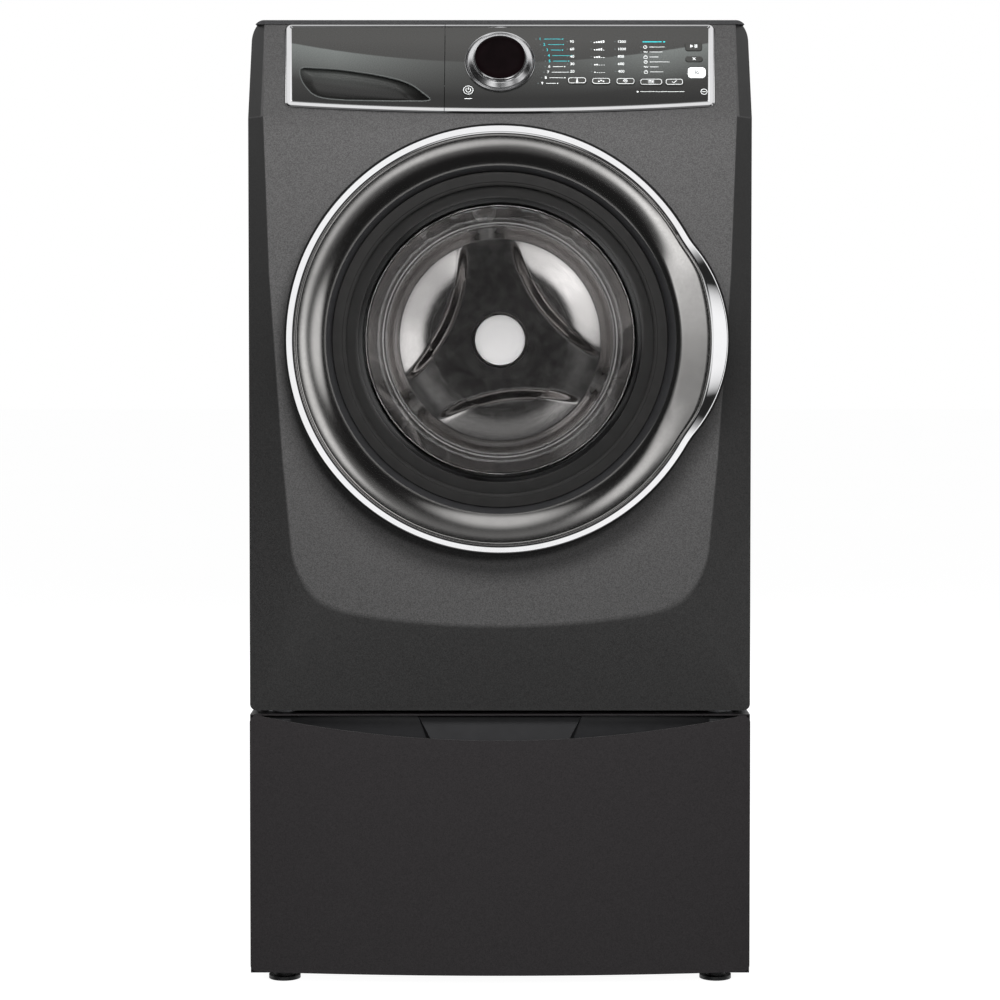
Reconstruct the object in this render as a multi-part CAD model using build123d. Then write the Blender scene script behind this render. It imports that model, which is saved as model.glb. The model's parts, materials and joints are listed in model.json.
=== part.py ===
"""Front load washing machine on a drawer pedestal. Millimetres, +X right, -Y front, +Z up.

The origin is at the middle of the footprint, on the floor.
"""

import os
from math import atan2, cos, degrees, radians, sin, sqrt, tan

from build123d import *

# ---- Cabinet -------------------------------------------------------------------------------
WIDTH = 686.0
HALF = WIDTH / 2
PEDESTAL_TOP = 374.5
STACK_GAP = 5.5
DOOR_RISE = 508.0
CONSOLE_RISE = 302.0
CONSOLE_TALL = 137.0
TOP_THICK = 6.0
BODY_BOTTOM = PEDESTAL_TOP + STACK_GAP
DOOR_Z = BODY_BOTTOM + DOOR_RISE
SLANT_HEIGHT = DOOR_Z + CONSOLE_RISE
WORKTOP = SLANT_HEIGHT + CONSOLE_TALL
PANEL_TOP = WORKTOP - TOP_THICK
FRONT = -346.0
SIDE_DEPTH = 30.0
SIDE_FRONT = FRONT + SIDE_DEPTH
SEAM = FRONT + 108.25
REAR = 376.0
STUB = 24.0
REAR_REACH = REAR + STUB
SHEET = 1.2
PAN_SHEET = 2.0
PAN_TALL = 22.0
FLANGE = 8.0
LIP = 22.0
CORNER_WIDE = 19.0
CORNER_TALL = 27.0
LOW_ROUND = 9.0
SKIRT = 27.0
FIT = 0.3
HAIR = 0.25

# ---- Raised centre of the front panel: half-width at each height ----------------------------
CREASE_TOP = HALF - 19.0
CREASE_SLANT = HALF - 23.5
CREASE_MID = HALF - 31.0
CREASE_LOW = HALF - 48.4
CREASE_FOOT = HALF - 60.0
MID_HEIGHT = DOOR_Z + 90.0
LOW_HEIGHT = DOOR_Z - 156.0
FOOT_HEIGHT = DOOR_Z - 278.0
BOWL_HEIGHT = DOOR_Z - 386.5
BOWL_SHIN = (HALF - 69.0, DOOR_Z - 312.0)
BOWL_CORNER = (HALF - 95.0, DOOR_Z - 347.0)
BOWL_SHOULDER = (HALF - 153.6, DOOR_Z - 370.6)
BORDER_FOOT = HALF - 90.0

# ---- Console --------------------------------------------------------------------------------
SLANT = 27.0
LEAN = tan(radians(SLANT))
CONSOLE_HALF = HALF - 49.0
CONSOLE_LOW = 13.0
CONSOLE_DIP = 10.5
CONSOLE_HIGH = (PANEL_TOP - SLANT_HEIGHT) / cos(radians(SLANT)) - 1.5
CONSOLE_ROUND = 9.0
TRIM_BAR = 5.5
TRIM_PROUD = 5.0
FASCIA = 3.0
SPLIT = -75.3
SPLIT_GAP = 0.8
KNOB_AT = (0.0, CONSOLE_HIGH - 61.3)
KNOB_RADIUS = 48.0
KNOB_PROUD = 12.7
KNOB_TAPER = 24
POST_RADIUS = 31.0
RUNNING_FIT = 0.08
WINDOW_RADIUS = 34.0
BUTTON_PROUD = 1.6
BUTTON_STEM = 6.8
BUTTON_GAP = 0.35
KEEPER = 1.2
CARRIER_BACK = 12.0
CARRIER_FRONT = 8.0
RIGHT = CONSOLE_HALF
# name, across, up, long, tall, rounding
BUTTONS = (
    ("power_button", -43.0, KNOB_AT[1] - 45.6, 15.6, 15.6, 7.7),
    ("temperature_button", RIGHT - 189.4, 54.1, 25.6, 10.7, 4.2),
    ("soil_button", RIGHT - 156.7, 53.2, 25.6, 10.7, 4.2),
    ("spin_button", RIGHT - 123.6, 52.9, 25.6, 10.7, 4.2),
    ("options_button", RIGHT - 88.8, 51.8, 30.9, 10.7, 4.2),
    ("select_button", RIGHT - 57.4, 51.8, 24.9, 10.7, 4.2),
    ("start_button", RIGHT - 29.5, 109.0, 23.0, 14.0, 4.0),
    ("cancel_button", RIGHT - 29.5, 88.6, 23.0, 8.5, 3.5),
    ("eco_button", RIGHT - 26.5, 67.0, 24.4, 16.4, 5.0),
)

# ---- Door -----------------------------------------------------------------------------------
DOOR_RADIUS = 289.0
GRIP_AT = 110.0
GRIP_RADIUS = DOOR_RADIUS - 91.0
GRIP_BLEND = 150.0
DOOR_FRONT = FRONT - 54.0
DOOR_BACK = FRONT - 18.0
RING_WALL = 3.0
RING_HOLE = DOOR_RADIUS - 63.0
RING_ROLL = 34.0
RING_BEVEL_WIDE = 11.0
RING_BEVEL_DEEP = 14.0
FRAME_INNER = RING_HOLE - 18.0
FRAME_FRONT = FRONT - 25.0
FRAME_BACK = FRONT - 14.3
GLASS_FLANGE = FRAME_INNER + 5.0
GLASS_FLANGE_FRONT = FRONT - 20.0
GLASS_WALL = 5.0
BOWL_MOUTH = GLASS_FLANGE - 31.0
BOWL_TIP = BOWL_MOUTH - 24.0
BOWL_BOTTOM = FRONT + 108.0
COVER_BACK = FRONT - 13.0
CLAMP_INNER = BOWL_MOUTH + 10.0
CLAMP_BACK = FRONT - 10.0
PANEL_HOLE = BOWL_MOUTH + 23.0
PANEL_HOLE_LIP = 16.0
BOOT_WALL = 3.0
BOOT_FOLD = 15.0
HINGE_X = -DOOR_RADIUS + 21.0
HINGE_Y = FRONT - 29.0
PIN_RADIUS = 4.0
KNUCKLE_RADIUS = 7.0
KNUCKLE_HALF = 49.5
EAR_HEIGHT = 12.0
EAR_WIDE = 8.0
STRIKE_X = DOOR_RADIUS - 41.0
STRIKE_TIP = FRONT + 21.0
LOCK_HALF = 45.0
LOCK_DEEP = 36.0

# ---- Tub and drum ---------------------------------------------------------------------------
TUB_WALL = 5.0
TUB_INNER = 275.0
TUB_OUTER = TUB_INNER + TUB_WALL
TUB_FRONT = FRONT + 84.0
TUB_SPLIT = TUB_FRONT + 236.0
TUB_REAR = TUB_FRONT + 473.0
TUB_NECK = PANEL_HOLE - 9.5
NECK_FRONT = TUB_FRONT - 23.0
NECK_WALL = 3.5
FLANGE_RADIUS = TUB_OUTER + 10.0
FLANGE_THICK = 4.0
RIB_TALL = 12.0
HUB_RADIUS = 45.0
HUB_BACK = TUB_REAR + 51.0
BEARING_RADIUS = 31.0
DRUM_RADIUS = TUB_INNER - 18.8
DRUM_SHEET = 1.2
DRUM_FRONT = TUB_FRONT + 22.0
DRUM_BACK = TUB_REAR - 50.0
DRUM_MOUTH = TUB_NECK + 2.5
LIFTER_TALL = 74.0
LIFTER_LONG = DRUM_BACK - DRUM_FRONT - 29.0
LIFTER_WIDE = 84.0
LIFTER_MID = (DRUM_FRONT + DRUM_BACK) / 2 + 2.5
LIFTER_SHEET = 1.5
LIFTER_ANGLES = (97.0, 217.0, 337.0)
DISH_ANGLES = (37.0, 157.0, 277.0)
DISH_AT = 130.0
DISH_LONG = 48.0
DISH_WIDE = 84.0
DISH_DEEP = 9.0
SHAFT_RADIUS = 12.5
SHAFT_SHOULDER = 15.0
HUB_CAP_RADIUS = 39.0
HUB_CAP_FRONT = DRUM_BACK - 11.0
PULLEY_RADIUS = 150.0
PULLEY_FRONT = HUB_BACK + 23.0
PULLEY_BACK = PULLEY_FRONT + 20.0
PULLEY_RIM = 8.0
MOTOR_AT = (-70.0, DOOR_Z - 358.0)
MOTOR_RADIUS = 72.0
MOTOR_BACK = PULLEY_FRONT - 15.0
MOTOR_FRONT = MOTOR_BACK - 160.0
MOTOR_PULLEY = 11.0
MOTOR_SHAFT = 7.9
SADDLE_HALF = 75.0
SADDLE_GAP = 2.0
SADDLE_TALL = 38.0
SADDLE_FRONT = TUB_REAR - 81.0
SADDLE_BACK = TUB_REAR - 21.0
BELT_THICK = 3.0
BELT_WIDE = 14.0
WEIGHT_OUTER = TUB_INNER - 3.0
WEIGHT_INNER = TUB_NECK + 18.5
WEIGHT_FRONT = TUB_FRONT - 41.0
SUSPENSION_Y = TUB_SPLIT + 66.0
SPRING_X = HALF - 81.0
SPRING_HANG = WORKTOP - 71.0
SPRING_LUG = DOOR_Z + 208.0
SPRING_RADIUS = 10.0
HANGER_HALF = 25.0
HANGER_THICK = 4.0
DAMPER_X = 190.0
DAMPER_FOOT = BODY_BOTTOM + 22.0
DAMPER_HEAD = DOOR_Z - 220.0
DAMPER_RADIUS = 17.0
DAMPER_TUBE = 158.0
ROD_RADIUS = 6.0
EYE_WIDE = 13.4
SUMP_X = 120.0
SUMP_Y = TUB_FRONT + 142.0
SUMP_RADIUS = 16.0
FILL_X = -150.0
FILL_Y = TUB_FRONT + 162.0
FILL_RADIUS = 14.0
PIPE_WALL = 3.0
PUMP_Z = BODY_BOTTOM + 56.0
PUMP_RADIUS = 32.0

# ---- Dispenser and water --------------------------------------------------------------------
HOUSING_LEFT = -CONSOLE_HALF + 24.0
HOUSING_RIGHT = SPLIT - 8.7
HOUSING_FRONT = FRONT + 84.0
HOUSING_BACK = FRONT + 326.0
HOUSING_LOW = SLANT_HEIGHT + 6.0
HOUSING_TOP = WORKTOP - 29.0
HOUSING_WALL = 2.0
BOX_WALL = 2.0
BOX_SHARE = 0.38
BOX_CLEAR = 6.0
BOX_LOW = HOUSING_LOW + 11.0
BOX_TOP = HOUSING_TOP - 32.0
BOX_BACK = HOUSING_BACK - 10.0
POCKET_DEEP = 20.0
POCKET_WALL = 2.0
POCKET_ROUND = 6.0
POCKET_MARGIN = 23.0
# share of the recess's length, height up the slanted face
POCKET_SHAPE = (
    (0.0, 74.5),
    (0.431, 78.5),
    (0.70, 64.5),
    (1.0, 33.0),
    (0.70, 28.4),
    (0.222, 35.0),
    (0.052, 46.0),
)
VALVE_X = (HALF - 153.0, HALF - 103.0)
VALVE_Z = WORKTOP - 65.0
VALVE_DEEP = 74.0
VALVE_PLATE = (42.0, 30.0)
INLET_RADIUS = 13.3
SPIGOT_X = HALF - 53.0
SPIGOT_Z = DOOR_Z + 212.0
SPIGOT_RADIUS = 11.0
HOSE_RADIUS = 7.0
HOSE_WALL = 1.5
HOSE_BEND = 24.0
HOSE_REACH = (100.0, 70.0)
DRAIN_RADIUS = 11.0
DRAIN_BEND = 30.0
DRAIN_WALL = 2.0
CORD_AT = (-HALF + 53.0, SLANT_HEIGHT - 10.0)
CORD_BORE = 4.2
ACCESS_WIDE = WIDTH - 256.0
ACCESS_TALL = 520.0
ACCESS_Z = DOOR_Z - 98.0
ACCESS_ROUND = 40.0
ACCESS_LAP = 14.0
ACCESS_SHEET = 1.5
RIB_LONG = ACCESS_WIDE - 130.0
RIB_WIDE = 14.0
RIB_PITCH = 80.0
RIB_PROUD = 2.5

# ---- Pedestal -------------------------------------------------------------------------------
PEDESTAL_LOW = 17.5
PEDESTAL_FRONT = FRONT + 29.5
PEDESTAL_SHEET = 1.5
DRAWER_FACE_LOW = PEDESTAL_LOW + 2.5
DRAWER_FACE_TOP = PEDESTAL_TOP - 1.0
DRAWER_EDGE = FRONT + 24.0
DRAWER_CROWN = FRONT
DRAWER_FACE_BACK = PEDESTAL_FRONT - 2.0
DRAWER_HALF = HALF - 25.0
DRAWER_LOW = PEDESTAL_LOW + 24.5
DRAWER_TOP = PEDESTAL_TOP - 74.5
DRAWER_REAR = REAR - 76.0
DRAWER_SHEET = 1.2
SCOOP_HALF = HALF - 13.0
SCOOP_DROP = 31.0
PULL_FLOOR = 16.0
PULL_BACK = PEDESTAL_FRONT + 20.5
PULL_RAMP = 112.0
PULL_WALL = 3.0
RAIL_HEIGHT = 45.0
RAIL_SHEET = 2.0
RAIL_Z = (DRAWER_LOW + DRAWER_TOP) / 2 - 6.0
FOOT_X = HALF - 43.0
FOOT_FRONT = FRONT + 76.0
FOOT_REAR = REAR - 46.0
FOOT_RADIUS = 22.0
FOOT_PAD = 5.0
STUD_RADIUS = 5.0
STUD_HOLE = 5.3

CONSOLE = Plane(
    origin=(0, FRONT, SLANT_HEIGHT),
    x_dir=(1, 0, 0),
    z_dir=(0, -cos(radians(SLANT)), sin(radians(SLANT))),
)
parts = {}


# ---- Helpers --------------------------------------------------------------------------------
def block(low, high):
    """A box from its low corner to its high corner."""
    size = [b - a for a, b in zip(low, high)]
    middle = [(a + b) / 2 for a, b in zip(low, high)]
    return Pos(*middle) * Box(*size)


def turned(*points, at=(0, DOOR_Z)):
    """A body turned about a line along Y, from (radius, y) corners."""
    return Pos(at[0], 0, at[1]) * revolve(Polygon(*points, align=None), Axis.Y)


def ring(inner, outer, front, back, at=(0, DOOR_Z)):
    """A plain ring about a line along Y."""
    return turned((inner, front), (outer, front), (outer, back), (inner, back), at=at)


def disc(radius, front, back, at=(0, DOOR_Z)):
    """A plain disc about a line along Y."""
    return Pos(at[0], (front + back) / 2, at[1]) * Rot(90, 0, 0) * Cylinder(radius, back - front)


def post(radius, x, y, low, high):
    """An upright round post."""
    return Pos(x, y, (low + high) / 2) * Cylinder(radius, high - low)


def facing(face, y):
    """A face drawn in X and Z, stood upright at a place along Y."""
    return Pos(0, y, 0) * (Plane.XZ * face)


def across(face, x):
    """A face drawn in Y and Z, stood upright at a place along X."""
    return Pos(x, 0, 0) * (Plane.YZ * face)


def upright(face, front, back):
    """A face drawn in X and Z, made solid from front to back along Y."""
    return extrude(facing(face, back), back - front)


def on_console(face, low, high):
    """A face drawn on the slanted console, made solid between two heights off the panel."""
    return CONSOLE.location * Pos(0, 0, low) * extrude(face, high - low)


def pipe(points, bends, radius, wall=0.0):
    """A round pipe along straight runs with tangent bends; solid where the wall is 0."""
    path = FilletPolyline(*points, radius=bends)
    start = Plane(origin=path @ 0, z_dir=path % 0)
    section = start * Circle(radius)
    if wall:
        section -= start * Circle(radius - wall)
    return sweep(section, path=path)


def polar(radius, angle):
    """X and Z of a point at an angle about the door axis."""
    return radius * cos(radians(angle)), DOOR_Z + radius * sin(radians(angle))


def group(*solids):
    """Several solids that share one node."""
    loose = []
    for item in solids:
        loose += item.solids()
    return Compound(loose)


def keep(name, part):
    """Name a finished sub-part."""
    solids = part.solids()
    parts[name] = solids[0] if len(solids) == 1 else Compound(solids)


# ---- Cabinet shells ---------------------------------------------------------------------------
def silhouette(inset, low, high):
    """The cabinet seen from the front, with its rounded upper corners, drawn in X and Z."""
    side = HALF - inset
    top = high
    shoulder = WORKTOP - CORNER_TALL
    full = Rectangle(2 * side, top - low, align=(Align.CENTER, Align.MIN))
    body = Pos(0, low) * full
    if low < SLANT_HEIGHT:
        body = fillet(body.vertices().group_by(Axis.Y)[0], LOW_ROUND - inset)
    wide = CORNER_WIDE
    tall = CORNER_TALL - inset
    corner = Pos(side - wide, shoulder) * Ellipse(wide, tall)
    notch = Pos(side - wide, shoulder) * Rectangle(wide * 2, tall * 2, align=(Align.MIN, Align.MIN))
    cut = notch - corner
    return body - cut - mirror(cut, Plane.YZ)


def crease_face():
    """The raised centre of the front panel below the console, drawn in X and Z."""
    right = [(CREASE_SLANT, SLANT_HEIGHT), (CREASE_MID, MID_HEIGHT), (CREASE_LOW, LOW_HEIGHT)]
    right += [(CREASE_FOOT, FOOT_HEIGHT)]
    left = [(-x, z) for x, z in reversed(right)]
    bowl_left = (-BOWL_SHOULDER[0], BOWL_SHOULDER[1])
    down, turn, along = (-0.07, -1), (-0.75, -0.66), (-1, -0.17)
    side = Line(right[-2], right[-1])
    corner = [
        Spline(right[-1], BOWL_SHIN, BOWL_CORNER, tangents=[down, turn]),
        Spline(BOWL_CORNER, BOWL_SHOULDER, tangents=[turn, along]),
    ]
    edges = [Line(a, b) for a, b in zip(right, right[1:-1])] + [side] + corner
    edges += [ThreePointArc(BOWL_SHOULDER, (0, BOWL_HEIGHT), bowl_left)]
    edges += [mirror(edge, Plane.YZ) for edge in reversed(corner)]
    edges += [Line(a, b) for a, b in zip(left, left[1:])]
    edges += [Line(left[-1], right[0])]
    return make_face(edges)


def border_face():
    """The outer edge of the front panel below the console, drawn in X and Z."""
    heights = (SLANT_HEIGHT, MID_HEIGHT, LOW_HEIGHT, FOOT_HEIGHT, BODY_BOTTOM)
    right = [(HALF, z) for z in heights]
    left = [(-x, z) for x, z in reversed(right)]
    inner = (BORDER_FOOT, BODY_BOTTOM)
    inner_left = (-BORDER_FOOT, BODY_BOTTOM)
    edges = [Line(a, b) for a, b in zip(right, right[1:])]
    edges += [Line(right[-1], inner), Line(inner, inner_left), Line(inner_left, left[0])]
    edges += [Line(a, b) for a, b in zip(left, left[1:])]
    edges += [Line(left[-1], right[0])]
    return make_face(edges)


def front_form():
    """The solid bulk behind the front panel's outer surface, back to the seam."""
    seat = SIDE_FRONT
    lower = loft([facing(crease_face(), FRONT), facing(border_face(), seat)], ruled=True)
    lower += block((-HALF, seat, BODY_BOTTOM), (HALF, SEAM, SLANT_HEIGHT))
    levels = []
    for height, half in ((SLANT_HEIGHT, CREASE_SLANT), (WORKTOP, CREASE_TOP)):
        back = (height - SLANT_HEIGHT) * LEAN
        corners = [(-HALF, SEAM), (-HALF, seat + back), (-half, FRONT + back)]
        corners += [(-x, y) for x, y in reversed(corners)]
        levels.append(Pos(0, 0, height) * Polygon(*corners, align=None))
    upper = loft(levels, ruled=True)
    return lower + upper


def make_front_panel():
    """The painted front panel, with the door opening and the console opening."""
    bulk = front_form()
    outer = bulk & upright(silhouette(0, BODY_BOTTOM, PANEL_TOP), FRONT - 1, SEAM - HAIR)
    hollow = Pos(0, SHEET * 1.25, 0) * bulk
    hollow &= upright(silhouette(SHEET, BODY_BOTTOM + SHEET, PANEL_TOP - SHEET), FRONT, SEAM + 5)
    panel = outer - hollow
    panel -= pan_form(-FIT, BODY_BOTTOM + PAN_TALL)
    panel -= disc(PANEL_HOLE + SHEET, FRONT - 1, FRONT + PANEL_HOLE_LIP)
    panel += ring(PANEL_HOLE, PANEL_HOLE + SHEET, FRONT, FRONT + PANEL_HOLE_LIP)
    window = Pos(0, CONSOLE_LOW + 1) * Rectangle(
        2 * CONSOLE_HALF - 18, CONSOLE_HIGH - CONSOLE_LOW - 17, align=(Align.CENTER, Align.MIN)
    )
    panel -= on_console(window, -6, 1)
    slot = block((STRIKE_X - 8, FRONT - 1, DOOR_Z - 12), (STRIKE_X + 14, FRONT + 5, DOOR_Z + 12))
    return panel - slot


def make_cabinet_wrap():
    """Sides and rear in one bent sheet, with the spring hangers welded inside."""
    front = SEAM + HAIR
    top = WORKTOP - SKIRT - FIT
    outer = block((-HALF, front, BODY_BOTTOM), (HALF, REAR, top))
    inner = block(
        (-HALF + SHEET, front - 1, BODY_BOTTOM - 1), (HALF - SHEET, REAR - SHEET, top + 1)
    )
    wrap = outer - inner
    wall = HALF - SHEET
    lip = block((HALF - LIP, front, BODY_BOTTOM + PAN_TALL + 4), (wall, front + SHEET, top))
    near, far = SUSPENSION_Y - HANGER_HALF, SUSPENSION_Y + HANGER_HALF
    hanger = block((SPRING_X - 16, near, SPRING_HANG), (wall, far, SPRING_HANG + HANGER_THICK))
    hanger += block((wall - 3, near, SPRING_HANG - 40), (wall, far, SPRING_HANG))
    for piece in (lip, hanger):
        wrap += piece
        wrap += mirror(piece, Plane.YZ)
    wrap -= upright(access_outline(0), REAR - 5, REAR + 5)
    wide, tall = VALVE_PLATE[0] - 7, VALVE_PLATE[1] - 5
    low = (VALVE_X[0] - wide, REAR - 5, VALVE_Z - tall)
    wrap -= block(low, (VALVE_X[1] + wide, REAR + 5, VALVE_Z + tall))
    wrap -= disc(SPIGOT_RADIUS + 3, REAR - 5, REAR + 5, at=(SPIGOT_X, SPIGOT_Z))
    return wrap - disc(CORD_BORE + 5.3, REAR - 5, REAR + 5, at=CORD_AT)


def access_outline(grow):
    """The service opening in the rear, drawn in X and Z."""
    wide, tall = ACCESS_WIDE + 2 * grow, ACCESS_TALL + 2 * grow
    return Pos(0, ACCESS_Z) * RectangleRounded(wide, tall, ACCESS_ROUND + grow)


def make_rear_access_cover():
    """The screwed-on cover over the rear service opening."""
    face = REAR + ACCESS_SHEET
    cover = upright(access_outline(ACCESS_LAP), REAR, face)
    for row in range(-2, 3):
        rib = Pos(0, ACCESS_Z + row * RIB_PITCH) * SlotOverall(RIB_LONG, RIB_WIDE)
        cover += upright(rib, face, face + RIB_PROUD)
    return cover


def make_top_panel():
    """The worktop: a drawn steel cap with rounded long edges and a front tongue."""
    low = WORKTOP - SKIRT
    front = SEAM + HAIR
    shape = upright(silhouette(0, low, WORKTOP), front, REAR)
    room = upright(silhouette(SHEET, low - 1, WORKTOP - SHEET), front - 1, REAR - SHEET)
    cap = shape - room
    lean_back = FRONT + (PANEL_TOP - SLANT_HEIGHT) * LEAN
    tongue = upright(silhouette(0, PANEL_TOP + FIT, WORKTOP), lean_back - 2, front)
    return cap + tongue


def pan_form(inset, top):
    """The bulk of the base pan, its sides and floor moved in by the inset."""
    side = HALF - SHEET - FIT - inset
    low = (-side, SIDE_FRONT + FLANGE + inset, BODY_BOTTOM + inset)
    form = block(low, (side, REAR - SHEET - FIT - inset, top))
    lowest = form.edges().filter_by(Axis.Y).group_by(Axis.Z)[0]
    return fillet(lowest, LOW_ROUND - SHEET - inset)


def make_base_pan():
    """The floor of the machine, with four bosses that stand on the pedestal."""
    top = BODY_BOTTOM + PAN_TALL
    pan = pan_form(0, top) - pan_form(PAN_SHEET, top + 1)
    for x in (-FOOT_X, FOOT_X):
        for y in (FOOT_FRONT, FOOT_REAR):
            pan += post(FOOT_RADIUS, x, y, PEDESTAL_TOP, BODY_BOTTOM + 1)
    return pan


def pan_floor():
    """Height of the base pan's inner floor."""
    return BODY_BOTTOM + PAN_SHEET


# ---- Console ----------------------------------------------------------------------------------
def console_outline(inset):
    """The whole console, seen square on, with its bowed lower edge."""
    side = CONSOLE_HALF - inset
    low = CONSOLE_LOW + inset
    top = CONSOLE_HIGH - inset
    narrow = side - 3.5
    bowed = [
        ThreePointArc((-narrow, low), (0, low - CONSOLE_DIP), (narrow, low)),
        Line((narrow, low), (side + 1, top)),
        Line((side + 1, top), (-side - 1, top)),
        Line((-side - 1, top), (-narrow, low)),
    ]
    face = make_face(bowed)
    return fillet(face.vertices(), max(CONSOLE_ROUND - inset, 2.0))


def console_half(face, side):
    """The part of a console outline left (-1) or right (1) of the drawer split."""
    reach = 2 * CONSOLE_HALF
    edge = SPLIT + side * SPLIT_GAP / 2
    mask = Pos(edge + side * reach / 2, CONSOLE_HIGH / 2) * Rectangle(reach, reach)
    return face & mask


def button_outline(button, grow):
    """One push button, seen square on."""
    _, across, up, long, tall, rounding = button
    return Pos(across, up) * RectangleRounded(long + 2 * grow, tall + 2 * grow, rounding + grow)


def make_console_fascia():
    """The dark control panel face, with its openings."""
    face = console_half(console_outline(TRIM_BAR + 0.05), 1)
    fascia = on_console(face, 0.1, FASCIA)
    fascia -= on_console(Pos(*KNOB_AT) * Circle(POST_RADIUS + FIT), -1, FASCIA + 1)
    for button in BUTTONS:
        fascia -= on_console(button_outline(button, BUTTON_GAP), -1, FASCIA + 1)
    return fascia


def make_trim(side):
    """The bright frame round the console on one side of the drawer split."""
    band = console_outline(0) - console_outline(TRIM_BAR)
    return on_console(console_half(band, side), 0.1, TRIM_PROUD)


def make_console_housing():
    """The moulded carrier behind the control panel, with the knob post."""
    left = SPLIT + 6
    right = CONSOLE_HALF - 10.5
    low = CONSOLE_LOW + 12
    plate = Pos((left + right) / 2, low) * Rectangle(
        right - left, CONSOLE_HIGH - 20 - low, align=(Align.CENTER, Align.MIN)
    )
    housing = on_console(plate, -CARRIER_BACK, -CARRIER_FRONT)
    hollow = offset(plate, amount=-2.0)
    housing += on_console(plate - hollow, -CARRIER_BACK, 0.05)
    return housing + on_console(Pos(*KNOB_AT) * Circle(POST_RADIUS), -CARRIER_BACK, KNOB_PROUD)


def make_display_window():
    """The dark round display on the end of the fixed post."""
    low = KNOB_PROUD
    base = on_console(Pos(*KNOB_AT) * Circle(WINDOW_RADIUS), low, low + 2.4)
    return base + on_console(Pos(*KNOB_AT) * Circle(WINDOW_RADIUS - 2), low + 2.4, low + 3.4)


def make_knob_ring():
    """The turning selector ring round the display."""
    low = FASCIA + FIT
    high = KNOB_PROUD - FIT
    base = on_console(Pos(*KNOB_AT) * Circle(KNOB_RADIUS), low, low + 3)
    crown = extrude(Circle(KNOB_RADIUS - 1.5), high - low - 3, taper=KNOB_TAPER)
    body = base + CONSOLE.location * Pos(*KNOB_AT, low + 3) * crown
    bore = Circle(POST_RADIUS + RUNNING_FIT)
    return body - on_console(Pos(*KNOB_AT) * bore, 0, KNOB_PROUD + 5)


def make_button(button):
    """A push button: a cap through the panel, a stem and a keeper flange."""
    body = on_console(button_outline(button, 0), -BUTTON_STEM, FASCIA + BUTTON_PROUD)
    return body + on_console(button_outline(button, BUTTON_GAP + KEEPER), -KEEPER - FIT, -FIT)


# ---- Detergent drawer -------------------------------------------------------------------------
def pocket_outline(grow):
    """The finger recess in the drawer front: a long leaf with a pointed right end."""
    left = -CONSOLE_HALF + POCKET_MARGIN
    long = SPLIT - POCKET_MARGIN - left
    points = [(left + share * long, height) for share, height in POCKET_SHAPE]
    leaf = make_face(Polyline(*points, close=True))
    leaf = fillet(leaf.vertices(), POCKET_ROUND)
    return offset(leaf, amount=grow) if grow else leaf


def make_dispenser_front():
    """The drawer front: the left part of the console with its finger recess and trim."""
    face = console_half(console_outline(TRIM_BAR + 0.05), -1)
    front = on_console(face, 0.6, FASCIA)
    front += on_console(pocket_outline(POCKET_WALL), -POCKET_DEEP, 0.6)
    front -= on_console(pocket_outline(0), -POCKET_DEEP + POCKET_WALL, FASCIA + 1)
    trim = console_half(console_outline(0) - console_outline(TRIM_BAR), -1)
    return group(front, on_console(trim, 0.6, TRIM_PROUD))


def box_side(gap):
    """Left and right of the drawer box or of the room around it."""
    return HOUSING_LEFT + HOUSING_WALL + BOX_CLEAR - gap, HOUSING_RIGHT - HOUSING_WALL - BOX_CLEAR + gap


def make_dispenser_box():
    """The detergent drawer: an open box with partitions and a siphon cap."""
    left, right = box_side(0)
    face = -POCKET_DEEP - FIT
    beyond = Pos(0, 70) * Rectangle(3 * WIDTH, 3 * WIDTH)
    outer = block((left, FRONT - 20, BOX_LOW), (right, BOX_BACK, BOX_TOP))
    outer -= on_console(beyond, face, 200)
    inside = block(
        (left + BOX_WALL, FRONT - 20, BOX_LOW + BOX_WALL), (right - BOX_WALL, BOX_BACK - BOX_WALL, WORKTOP)
    )
    inside -= on_console(beyond, face - BOX_WALL, 200)
    box = outer - inside
    rib_x = left + (right - left) * BOX_SHARE
    rib_y = BOX_BACK - 90
    rib = block((rib_x, FRONT, BOX_LOW + 1), (rib_x + BOX_WALL, BOX_BACK - 1, BOX_TOP - 6))
    cross = block((rib_x + 1, rib_y, BOX_LOW + 1), (right - 1, rib_y + BOX_WALL, BOX_TOP - 6))
    box += rib - on_console(beyond, face - 1, 200)
    box += cross
    return box + post(11, (rib_x + right) / 2, rib_y + 45, BOX_LOW + 1, BOX_TOP - 14)


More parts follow.
